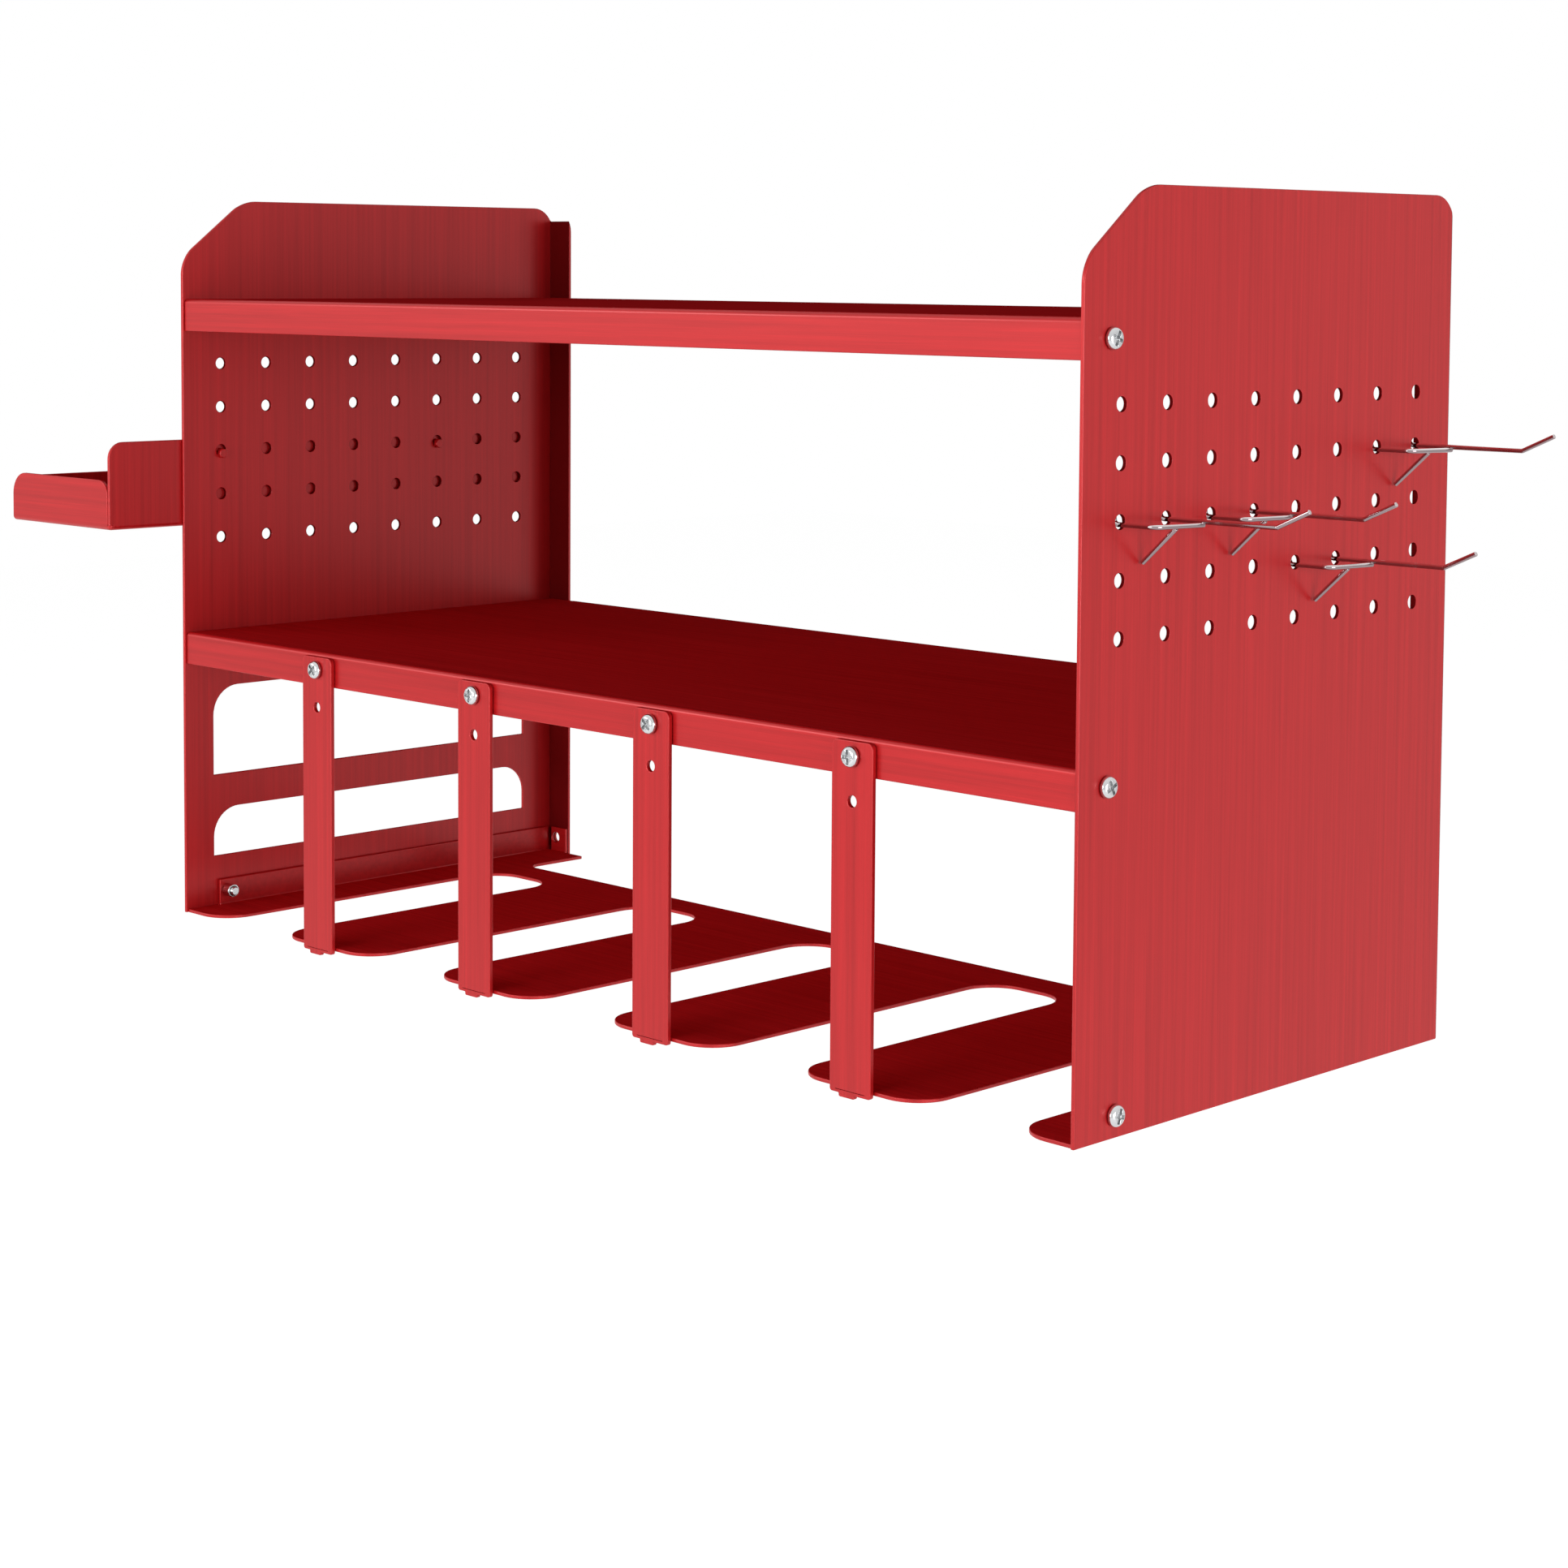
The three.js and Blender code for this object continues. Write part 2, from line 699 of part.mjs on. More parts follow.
const upperShelf = mesh("upper_shelf", shelf([]), finishes.redPaint);
upperShelf.position.z = upperShelfTop;
const lowerShelf = mesh("lower_shelf", shelf(strapHoles()), finishes.redPaint);
lowerShelf.position.z = lowerShelfTop;
rack.add(upperShelf, lowerShelf);

rack.add(mesh("slotted_base", slottedBase(), finishes.redPaint));

const strapGrip = fitGap + strapSheet + fitGap + sheet + fitGap;
for (let i = 0; i < toothCount; i += 1) {
  const strap = mesh(`front_strap_${i + 1}`, frontStrap(), finishes.redPaint);
  strap.position.set(strapX(i), strapBack, 0);
  const screw = mesh(`strap_screw_${i + 1}`, panScrew(strapGrip), finishes.zincSteel);
  screw.position.set(strapX(i), strapFront - fitGap, lowerScrewHeight);
  screw.rotation.x = Math.PI;
  const nut = mesh(`strap_nut_${i + 1}`, clinchNut(), finishes.zincSteel);
  nut.position.set(strapX(i), sheetFront + sheet + fitGap, lowerScrewHeight);
  nut.rotation.x = Math.PI;
  rack.add(strap, screw, nut);
}

const sideGrip = fitGap + sheet + fitGap + sheet + fitGap;
const sideFixings = [
  [screwY, upperScrewHeight], [screwY, lowerScrewHeight], [baseScrewY, baseScrewHeight],
];
[-1, 1].forEach((side, sideIndex) => {
  sideFixings.forEach(([y, height], i) => {
    const number = sideIndex * sideFixings.length + i + 1;
    const screw = mesh(`side_screw_${number}`, panScrew(sideGrip), finishes.zincSteel);
    screw.position.set(side * (outerHalf + fitGap), y, height);
    screw.rotation.z = -side * (Math.PI / 2);
    const nut = mesh(`side_nut_${number}`, clinchNut(), finishes.zincSteel);
    nut.position.set(side * (innerHalf - sheet - fitGap), y, height);
    nut.rotation.z = -side * (Math.PI / 2);
    rack.add(screw, nut);
  });
});

const sideTray = mesh("tray", tray(), finishes.redPaint);
const trayMiddle = (columnY(trayLugColumns[0]) + columnY(trayLugColumns[1])) / 2;
const trayFloor = rowZ(rowAtShare(trayRowShare)) - (trayBackHeight - trayLugDrop);
sideTray.position.set(-(outerHalf + fitGap), trayMiddle, trayFloor);
rack.add(sideTray);

hookPlaceShares.forEach(({ down: downShare, forward: forwardShare }, i) => {
  const hook = mesh(`peg_hook_${i + 1}`, pegHook(), finishes.chromeWire);
  hook.position.set(outerHalf, columnY(pairAtShare(forwardShare)), rowZ(rowAtShare(downShare)));
  rack.add(hook);
});

export default rack;
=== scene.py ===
# %% [markdown]
# # A wall rack of folded sheet steel
# The real rack is a kit of laser-cut and folded steel sheets, brushed, sprayed red and screwed
# together. Each sheet is made here as a press shop makes it: a flat blank is scored, punched,
# folded and thickened. So the folds, reliefs and cut edges come out where the real ones are.
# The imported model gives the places. This file adds fine form, the finish and the light.

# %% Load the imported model
import math
from contextlib import contextmanager

import bmesh
import bpy
from mathutils import Matrix, Quaternion, Vector


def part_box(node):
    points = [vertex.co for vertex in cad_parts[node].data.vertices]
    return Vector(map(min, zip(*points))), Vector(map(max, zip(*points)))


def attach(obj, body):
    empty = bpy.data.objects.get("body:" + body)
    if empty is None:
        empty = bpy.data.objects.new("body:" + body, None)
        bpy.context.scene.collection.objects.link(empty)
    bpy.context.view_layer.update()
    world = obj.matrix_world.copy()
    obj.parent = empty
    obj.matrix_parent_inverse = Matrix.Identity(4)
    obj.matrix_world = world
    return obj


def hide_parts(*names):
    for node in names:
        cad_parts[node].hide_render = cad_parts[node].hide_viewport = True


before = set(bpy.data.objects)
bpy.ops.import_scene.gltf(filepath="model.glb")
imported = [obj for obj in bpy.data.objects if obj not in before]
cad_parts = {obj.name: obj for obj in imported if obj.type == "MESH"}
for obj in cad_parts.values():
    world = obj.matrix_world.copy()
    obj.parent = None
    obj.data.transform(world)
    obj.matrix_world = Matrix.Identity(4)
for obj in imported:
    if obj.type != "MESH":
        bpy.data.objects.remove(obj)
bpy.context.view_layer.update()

# %% [markdown]
# ## The camera
# The photograph was taken level with the upper shelf, from the right, with a long lens. The
# lens was slid downwards to keep the uprights parallel, which is Blender's shift. A smaller
# shift with the camera tipped down a little gives the same picture to a few pixels, and it
# keeps the rack in frame when it is looked at from other sides.

# %% Place the camera
CAMERA_PLACE = Vector((0.92302, -1.01887, 0.02267))
CAMERA_TURN = math.radians(45.061)
CAMERA_TIP = math.radians(-3.758)
CAMERA_ROLL = math.radians(0.36)
LENS_MM = 70.37
SHIFT_SHARE = -0.2

bpy.ops.object.camera_add(
    location=CAMERA_PLACE, rotation=(math.pi / 2 + CAMERA_TIP, 0, CAMERA_TURN)
)
camera = bpy.context.active_object
roll = Matrix.Rotation(CAMERA_ROLL, 3, "Z")
camera.rotation_euler = (camera.rotation_euler.to_matrix() @ roll).to_euler()
camera.data.lens = LENS_MM
camera.data.shift_y = SHIFT_SHARE
bpy.context.scene.camera = camera
print("camera", round(CAMERA_PLACE.length, 3), "m from the middle of the rack's rear")

# %% [markdown]
# ## The studio
# A plain white room with a pale floor well below the rack and three soft lamps. The front lamp
# lights the inside, the left one puts a sheen on the shelf lips and the straps, and the right
# one lights the side panel. A panorama picture could light it too, but three lamps are easier
# to aim. Little light comes from above, so the tops of the shelves stay deep red. The
# background is white for what the camera and the reflections see, while the light on the
# paint stays at a plain level.

# %% Make the node helpers
scene = bpy.context.scene
scene.view_settings.view_transform = "Standard"


def node_helpers(tree):
    """Helpers that add a node to a tree, and that link two sockets."""
    def add(kind, **values):
        node = tree.nodes.new(kind)
        for name, value in values.items():
            setattr(node, name, value)
        return node

    return add, tree.links.new


def new_nodes(owner):
    """Empties a material's or world's node tree and gives helpers to fill it."""
    owner.use_nodes = True
    owner.node_tree.nodes.clear()
    return node_helpers(owner.node_tree)


def new_material(name):
    material = bpy.data.materials.new(name)
    return material, *new_nodes(material)


def fill(node, values):
    """Sets constants on a node's own sockets."""
    for socket, value in values.items():
        node.inputs[socket].default_value = value


def surface(add, link, shader):
    """Makes a shader the material's surface."""
    link(shader.outputs[0], add("ShaderNodeOutputMaterial").inputs["Surface"])


# %% Make the nodes that are often used
def map_range(add, low, high, start=0.0, end=1.0):
    """A node that turns a value between start and end into one between low and high."""
    node = add("ShaderNodeMapRange")
    fill(node, {"From Min": start, "From Max": end, "To Min": low, "To Max": high})
    return node


def seen_share(add, link):
    """1 for rays from the camera or from a shiny or clear surface, and 0 for the rest."""
    path = add("ShaderNodeLightPath")
    shiny = add("ShaderNodeMath", operation="MAXIMUM")
    seen = add("ShaderNodeMath", operation="MAXIMUM")
    link(path.outputs["Is Glossy Ray"], shiny.inputs[0])
    link(path.outputs["Is Transmission Ray"], shiny.inputs[1])
    link(path.outputs["Is Camera Ray"], seen.inputs[0])
    link(shiny.outputs[0], seen.inputs[1])
    return seen.outputs[0]


# %% Whiten the room
LIGHT_FROM_BELOW = 0.5
LIGHT_FROM_ABOVE = 0.16
WHITE = (1, 1, 1, 1)
world = bpy.data.worlds.new("white_room")
scene.world = world
add, link = new_nodes(world)
place = add("ShaderNodeTexCoord")
parts = add("ShaderNodeSeparateXYZ")
light = map_range(add, LIGHT_FROM_BELOW, LIGHT_FROM_ABOVE, -1, 1)
strength = add("ShaderNodeMix")
fill(strength, {"B": 1})
background = add("ShaderNodeBackground")
fill(background, {"Color": WHITE})
link(place.outputs["Generated"], parts.inputs[0])
link(parts.outputs["Z"], light.inputs["Value"])
link(light.outputs["Result"], strength.inputs["A"])
link(seen_share(add, link), strength.inputs["Factor"])
link(strength.outputs["Result"], background.inputs["Strength"])
link(background.outputs[0], add("ShaderNodeOutputWorld").inputs["Surface"])
print("light from below", LIGHT_FROM_BELOW, "and from above", LIGHT_FROM_ABOVE)

# %% Aim the lamps
LAMPS = {
    "front_softbox": {"place": (-0.15, -2.1, 0.1), "width": 1.2, "height": 0.8, "watts": 18},
    "left_softbox": {"place": (-1.5, -1.7, 0.45), "width": 0.7, "height": 0.5, "watts": 8},
    "right_softbox": {"place": (2.4, -0.5, -0.1), "width": 1.3, "height": 0.9, "watts": 27},
}
AIM = Vector((0, -0.1, -0.1))


def softbox(name, place, width, height, watts):
    bpy.ops.object.light_add(type="AREA", location=place)
    lamp = bpy.context.active_object
    lamp.name = name
    lamp.rotation_euler = (AIM - Vector(place)).to_track_quat("-Z", "Y").to_euler()
    lamp.data.shape = "RECTANGLE"
    lamp.data.size = width
    lamp.data.size_y = height
    lamp.data.energy = watts
    print(name, watts, "W from", place)


for name, lamp in LAMPS.items():
    softbox(name, **lamp)

# %% Lay the floor
FLOOR_HEIGHT = -0.75
FLOOR_WIDTH = 12.0
FLOOR_GREY = (0.8, 0.8, 0.8, 1)
FLOOR_GLOW = 0.82

# The glow looks white to the camera, and the paint still holds the rack's soft shadow.
bpy.ops.mesh.primitive_plane_add(size=FLOOR_WIDTH, location=(0, 0, FLOOR_HEIGHT))
floor = bpy.context.active_object
floor.name = "floor"
material, add, link = new_material("white_floor")
paint = add("ShaderNodeBsdfDiffuse")
fill(paint, {"Color": FLOOR_GREY})
glow = add("ShaderNodeEmission")
glow_share = map_range(add, 0, FLOOR_GLOW)
both = add("ShaderNodeAddShader")
link(seen_share(add, link), glow_share.inputs["Value"])
link(glow_share.outputs[0], glow.inputs["Strength"])
link(paint.outputs[0], both.inputs[0])
link(glow.outputs[0], both.inputs[1])
surface(add, link, both)
floor.data.materials.append(material)
print("floor", FLOOR_WIDTH, "m wide at a height of", FLOOR_HEIGHT, "m")

# %% [markdown]
# ## Effects that the finishes share
# The sheets are brushed before they are sprayed, and long fine streaks show through the red.
# A picture of brushed metal could give them, but noise that is stretched along the brushing
# direction stays sharp at any distance. What several finishes use is a node group, built once:
# streaks for the brushed faces, grain for the others, and one that tells level faces from
# steep ones.

# %% Make a group, and use it
def new_group(name, inputs, outputs):
    """A shader node group with named sockets, as (socket kind, name) pairs."""
    group = bpy.data.node_groups.new(name, "ShaderNodeTree")
    for way, sockets in (("INPUT", inputs), ("OUTPUT", outputs)):
        for kind, label in sockets:
            group.interface.new_socket(label, in_out=way, socket_type="NodeSocket" + kind)
    add, link = node_helpers(group)
    return group, add, link, add("NodeGroupInput"), add("NodeGroupOutput")


def use_group(add, link, group, socket, source, **values):
    """Places a group in a material, fed at one socket, with the material's own values."""
    node = add("ShaderNodeGroup", node_tree=group)
    link(source, node.inputs[socket])
    fill(node, values)
    return node.outputs[0]


# %% Make the streaks
FINE_SHARE = 0.4
STREAK_DETAIL = {"Broad": 2, "Fine": 3}


def streak_group():
    """Broad and fine noise together. The material stretches the coordinates that go in."""
    group, add, link, entry, leave = new_group(
        "Brushed streaks",
        (("Vector", "Vector"), ("Float", "Fine"), ("Float", "Broad")),
        (("Float", "Streaks"),),
    )
    both = add("ShaderNodeMix")
    fill(both, {"Factor": FINE_SHARE})
    for scale, slot in (("Broad", "A"), ("Fine", "B")):
        noise = add("ShaderNodeTexNoise")
        fill(noise, {"Detail": STREAK_DETAIL[scale]})
        link(entry.outputs["Vector"], noise.inputs["Vector"])
        link(entry.outputs[scale], noise.inputs["Scale"])
        link(noise.outputs["Fac"], both.inputs[slot])
    link(both.outputs["Result"], leave.inputs["Streaks"])
    return group


streaks = streak_group()
print("effect:", streaks.name)

# %% Make the grain and tell level faces
MIX_A, MIX_B, MIX_RESULT = 6, 7, 2


def grain_group():
    """Noise between a low and a high value, for surfaces that aren't brushed."""
    group, add, link, entry, leave = new_group(
        "Fine grain",
        (("Vector", "Vector"), ("Float", "Scale"), ("Float", "Low"), ("Float", "High")),
        (("Float", "Grain"),),
    )
    noise = add("ShaderNodeTexNoise")
    grain = map_range(add, 0, 1)
    link(entry.outputs["Vector"], noise.inputs["Vector"])
    link(entry.outputs["Scale"], noise.inputs["Scale"])
    link(noise.outputs["Fac"], grain.inputs["Value"])
    link(entry.outputs["Low"], grain.inputs["To Min"])
    link(entry.outputs["High"], grain.inputs["To Max"])
    link(grain.outputs["Result"], leave.inputs["Grain"])
    return group


def level_group():
    """Goes from the steep value to the level value as a face turns upwards."""
    group, add, link, entry, leave = new_group(
        "Level faces",
        (("Vector", "Normal"), ("Float", "Start"), ("Float", "End"), ("Color", "Steep"),
         ("Color", "Level")),
        (("Color", "Value"),),
    )
    parts = add("ShaderNodeSeparateXYZ")
    share = map_range(add, 0, 1)
    mix = add("ShaderNodeMix", data_type="RGBA")
    link(entry.outputs["Normal"], parts.inputs[0])
    link(parts.outputs["Z"], share.inputs["Value"])
    link(entry.outputs["Start"], share.inputs["From Min"])
    link(entry.outputs["End"], share.inputs["From Max"])
    link(share.outputs["Result"], mix.inputs["Factor"])
    link(entry.outputs["Steep"], mix.inputs[MIX_A])
    link(entry.outputs["Level"], mix.inputs[MIX_B])
    link(mix.outputs[MIX_RESULT], leave.inputs["Value"])
    return group


grain, level_faces = grain_group(), level_group()
print("effects:", grain.name, level_faces.name)

# %% [markdown]
# ## Brushed red lacquer
# The lacquer is thin and lets the steel shine through, so it counts partly as metal, under a
# clear coat. The streaks change its colour and its gloss, and a very shallow bump follows
# them. A film of dust takes the gloss away on level faces. The streaks run with each sheet, so
# one paint is made for each brushing direction instead of turning one paint on every piece.

# %% Choose the lacquer's tones
FINE_STREAKS = 2600
BROAD_STREAKS = 480
STREAK_STRETCH = 0.012
STREAK_SPAN = (0.3, 0.7)
DEEP_RED = (0.42, 0.0073, 0.0094, 1)
BRIGHT_RED = (0.58, 0.0135, 0.0165, 1)
RED_SHEEN = (1.0, 0.25, 0.25, 1)
PAINT_ROUGHNESS = (0.32, 0.54)
METAL_SHARE = 0.32
COAT_SHARE = 0.65
COAT_ROUGHNESS = 0.3
DUST_SPAN = (0.72, 0.95)
NOTHING = (0, 0, 0, 1)
BUMP_STRENGTH = 0.1
BUMP_DEPTH = 0.0001


def brushed_colour(add, link, brushed):
    tone = map_range(add, 0, 1, *STREAK_SPAN)
    colour = add("ShaderNodeMix", data_type="RGBA")
    fill(colour, {MIX_A: DEEP_RED, MIX_B: BRIGHT_RED})
    link(brushed, tone.inputs["Value"])
    link(tone.outputs["Result"], colour.inputs["Factor"])
    return colour.outputs[MIX_RESULT]


# %% Mix the brushed paints
def red_paint(name, along):
    """Lacquer brushed along an axis: 0, 1 or 2 for X, Y or Z."""
    material, add, link = new_material(name)
    place = add("ShaderNodeTexCoord")
    stretch = add("ShaderNodeMapping")
    scale = [1, 1, 1]
    scale[along] = STREAK_STRETCH
    fill(stretch, {"Scale": scale})
    link(place.outputs["Object"], stretch.inputs["Vector"])
    brushed = use_group(add, link, streaks, "Vector", stretch.outputs[0],
                        Fine=FINE_STREAKS, Broad=BROAD_STREAKS)
    roughness = map_range(add, *PAINT_ROUGHNESS)
    bump = add("ShaderNodeBump")
    fill(bump, {"Strength": BUMP_STRENGTH, "Distance": BUMP_DEPTH})
    paint = add("ShaderNodeBsdfPrincipled")
    fill(paint, {"Specular IOR Level": 0, "Specular Tint": RED_SHEEN,
                 "Coat Roughness": COAT_ROUGHNESS})
    for socket, share in (("Metallic", METAL_SHARE), ("Coat Weight", COAT_SHARE)):
        clean = use_group(add, link, level_faces, "Normal", place.outputs["Normal"],
                          Start=DUST_SPAN[0], End=DUST_SPAN[1],
                          Steep=(share, share, share, 1), Level=NOTHING)
        link(clean, paint.inputs[socket])
    link(brushed, roughness.inputs["Value"])
    link(brushed, bump.inputs["Height"])
    link(brushed_colour(add, link, brushed), paint.inputs["Base Color"])
    link(roughness.outputs["Result"], paint.inputs["Roughness"])
    link(bump.outputs[0], paint.inputs["Normal"])
    surface(add, link, paint)
    return material


paint_along = [red_paint(f"red_brushed_{axis}", i) for i, axis in enumerate("xyz")]
ALONG_X, ALONG_Y, ALONG_Z, PAINTED_SHADE_INDEX = range(4)
print("brushed paints:", [paint.name for paint in paint_along])

# %% [markdown]
# ## Painted shade in holes and folds, zinc and chrome
# The walls of the punched holes and the inside of the rear fold get a deeper, dull red lacquer,
# which is painted shade for these hollows. The screws are zinc plated, and the hooks have a
# bright plating. These metals show their surroundings, and a white room alone would leave them
# flat, so each has a painted highlight where it looks up, as under the lamps on a studio's
# ceiling, and painted shade on its steep faces. The chrome's steep faces are also tinted pink,
# a painted reflection of the red paint.

# %% Mix the painted shade and the metals
# Painted shade: a deep, dull red for the walls of the peg holes and the rear fold.
PAINTED_SHADE_RED = (0.15, 0.004, 0.005, 1)
EDGE_ROUGHNESS = (0.5, 0.7)
HIGHLIGHT_SPAN = (0.0, 0.85)
METAL_GRAIN = 900
METAL_SPREAD = 0.3
# Painted light: the steep colours are painted shade and the level ones painted highlight. The
# chrome's pink steep colour is a painted reflection of the red paint.
ZINC = {"steep": (0.54, 0.55, 0.56, 1), "level": (0.7, 0.7, 0.7, 1), "roughness": 0.16}
CHROME = {"steep": (0.27, 0.21, 0.22, 1), "level": (0.85, 0.8, 0.8, 1), "roughness": 0.1}


def painted_shade_paint(name):
    material, add, link = new_material(name)
    place = add("ShaderNodeTexCoord")
    paint = add("ShaderNodeBsdfPrincipled")
    fill(paint, {"Base Color": PAINTED_SHADE_RED, "Specular IOR Level": 0})
    roughness = use_group(add, link, grain, "Vector", place.outputs["Object"],
                          Scale=FINE_STREAKS, Low=EDGE_ROUGHNESS[0], High=EDGE_ROUGHNESS[1])
    link(roughness, paint.inputs["Roughness"])
    surface(add, link, paint)
    return material


def painted_light_metal(name, steep, level, roughness):
    material, add, link = new_material(name)
    place = add("ShaderNodeTexCoord")
    metal = add("ShaderNodeBsdfPrincipled")
    fill(metal, {"Metallic": 1})
    # Painted highlight on faces that look up, painted shade on steep ones.
    colour = use_group(add, link, level_faces, "Normal", place.outputs["Normal"],
                       Start=HIGHLIGHT_SPAN[0], End=HIGHLIGHT_SPAN[1], Steep=steep, Level=level)
    gloss = use_group(add, link, grain, "Vector", place.outputs["Object"], Scale=METAL_GRAIN,
                      Low=roughness * (1 - METAL_SPREAD), High=roughness * (1 + METAL_SPREAD))
    link(colour, metal.inputs["Base Color"])
    link(gloss, metal.inputs["Roughness"])
    surface(add, link, metal)
    return material


paint_along.append(painted_shade_paint("red_painted_shade"))
zinc = painted_light_metal("zinc_plate", **ZINC)
chrome = painted_light_metal("chrome_wire", **CHROME)
print("and", paint_along[PAINTED_SHADE_INDEX].name, zinc.name, chrome.name)

# %% [markdown]
# ## Working on a sheet
# A folded sheet could be put together from blocks, but its walls would then differ in
# thickness. So each sheet starts as one plane. It is scored into strips with bisect, the waste
# between the strips is punched out, and the rest is healed into one clean face. Its edges are
# extruded into flanges, the fold lines are bevelled to the bend radius, and Solidify gives the
# sheet its thickness inwards, so that the outside keeps its size. The helpers below do one
# such step each, and they pick what they work on by its place, as a hand would.

# %% Work in millimetres
MM = 0.001
TOLERANCE = 0.01 * MM
print("tolerance", TOLERANCE / MM, "mm")


def near(a, b):
    return abs(a - b) < TOLERANCE


def between(low, value, high):
    return low - TOLERANCE < value < high + TOLERANCE


# %% Make blanks, blocks and rods
HOLE_SIDES = 24


def activate(piece):
    bpy.ops.object.select_all(action="DESELECT")
    piece.select_set(True)
    bpy.context.view_layer.objects.active = piece


def settle(piece):
    """Writes an object's place, turn and scale into its mesh."""
    activate(piece)
    bpy.ops.object.transform_apply(location=True, rotation=True, scale=True)
    return piece


def named(name):
    piece = bpy.context.active_object
    piece.name = piece.data.name = name
    return piece


def blank(name, low, high, facing):
    """A flat sheet with no thickness between two corners, which faces along an axis."""
    bpy.ops.mesh.primitive_plane_add(size=1)
    piece = named(name)
    piece.rotation_euler = facing.to_track_quat("Z", "Y").to_euler()
    settle(piece)
    piece.scale = [side or 1 for side in high - low]
    piece.location = (low + high) / 2
    return settle(piece)


def block(low, high):
    bpy.ops.mesh.primitive_cube_add(size=1, location=(low + high) / 2, scale=high - low)
    return settle(named("block"))


def rod(centre, axis, radius, length, sides=HOLE_SIDES, ends="NGON"):
    turn = axis.to_track_quat("Z", "Y").to_euler()
    bpy.ops.mesh.primitive_cylinder_add(
        vertices=sides, radius=radius, depth=length, location=centre, rotation=turn,
        end_fill_type=ends,
    )
    return settle(named("rod"))


# %% Pick what to work on
@contextmanager
def editing(piece):
    activate(piece)
    bpy.ops.object.mode_set(mode="EDIT")
    yield
    bpy.ops.object.mode_set(mode="OBJECT")


def pick_where(kind, passes):
    """Selects each vertex, edge or face that passes a test of its own."""
    bpy.ops.mesh.select_mode(type=kind)
    bpy.ops.mesh.select_all(action="DESELECT")
    mesh = bpy.context.edit_object.data
    form = bmesh.from_edit_mesh(mesh)
    for element in {"VERT": form.verts, "EDGE": form.edges, "FACE": form.faces}[kind]:
        if passes(element):
            element.select_set(True)
    bmesh.update_edit_mesh(mesh)


def pick(kind, test, shared=False):
    """Selects what has all its corners pass the test. A shared edge lies between two faces."""
    def passes(element):
        corners = [element] if kind == "VERT" else element.verts
        return all(test(c.co) for c in corners) and not (shared and len(element.link_faces) < 2)

    pick_where(kind, passes)


def pick_all():
    bpy.ops.mesh.select_all(action="SELECT")


# %% Draw out, score, punch and heal
HEAL_ANGLE = math.radians(0.5)


def draw_out(move=Vector()):
    bpy.ops.mesh.extrude_region_move(TRANSFORM_OT_translate={"value": move})


def score(axis, places):
    for place in places:
        pick_all()
        bpy.ops.mesh.bisect(plane_co=axis * place, plane_no=axis)


def punch(test):
    """Cuts away each face whose middle passes the test."""
    pick_where("FACE", lambda face: test(face.calc_center_median()))
    bpy.ops.mesh.delete(type="FACE")


def heal():
    pick_all()
    bpy.ops.mesh.dissolve_limited(angle_limit=HEAL_ANGLE)


# %% Round corners and raise flanges
BEND_RADIUS = 2 * MM
BEND_STEPS = 6
CORNER_STEPS = 10
SQUARE = math.pi / 2


def round_corners(test, radius, turn=SQUARE):
    pick("VERT", test)
    bpy.ops.mesh.bevel(
        offset=radius * math.tan(turn / 2), offset_type="ABSOLUTE", affect="VERTICES",
        segments=CORNER_STEPS, profile=0.5, clamp_overlap=False,
    )


def raise_flange(test, move):
    pick("EDGE", test)
    draw_out(move)


def round_folds(test, radius=BEND_RADIUS, steps=BEND_STEPS, turn=SQUARE):
    pick("EDGE", test, shared=True)
    bpy.ops.mesh.bevel(
        offset=radius * math.tan(turn / 2), offset_type="OFFSET", affect="EDGES",
        segments=steps, profile=0.5, clamp_overlap=False,
    )


# %% Thicken, carve and soften
SHEET = 1.5 * MM
EDGE_SOFTNESS = 0.32 * MM
EDGE_STEPS = 3
EDGE_ANGLE = math.radians(40)
SMOOTH_ANGLE = math.radians(50)
FLATS_FIRST = 100


def apply_modifier(piece, kind, **settings):
    activate(piece)
    modifier = piece.modifiers.new(kind, kind)
    for name, value in settings.items():
        setattr(modifier, name, value)
    bpy.ops.object.modifier_apply(modifier=modifier.name)


def thicken(piece, thickness=SHEET):
    apply_modifier(piece, "SOLIDIFY", thickness=thickness, offset=-1, use_even_offset=True)


def carve(piece, cutters, operation="DIFFERENCE", solver="EXACT"):
    """Cuts with solids, or joins or trims with them, and throws them away."""
    for cutter in cutters:
        apply_modifier(piece, "BOOLEAN", object=cutter, operation=operation, solver=solver)
        bpy.data.objects.remove(cutter)


def shade(piece):
    """Smooths the shading without dulling the flats."""
    activate(piece)
    bpy.ops.object.shade_smooth_by_angle(angle=SMOOTH_ANGLE)
    apply_modifier(piece, "WEIGHTED_NORMAL", weight=FLATS_FIRST, keep_sharp=True)


def soften(piece, width=EDGE_SOFTNESS, steps=EDGE_STEPS):
    """Rounds the cut edges a little, so that they catch the light."""
    activate(piece)
    bpy.ops.object.shade_smooth_by_angle(angle=SMOOTH_ANGLE)
    apply_modifier(
        piece, "BEVEL", width=width, segments=steps, limit_method="ANGLE",
        angle_limit=EDGE_ANGLE, use_clamp_overlap=False, miter_outer="MITER_ARC",
    )
    shade(piece)


# %% Brush and hand over
def coat(piece, *finishes):
    piece.data.materials.clear()
    for finish in finishes:
        piece.data.materials.append(finish)


def brush(piece, along):
    """Gives a piece one paint, or one for each way that its faces look."""
    coat(piece, *paint_along)
    for face in piece.data.polygons:
        face.material_index = along(face) if callable(along) else along


def hand_over(piece, node, body="rack"):
    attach(piece, body)
    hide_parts(node)
    size = [round(side / MM, 1) for side in piece.dimensions]
    print(piece.name, len(piece.data.polygons), "faces,", size, "mm")


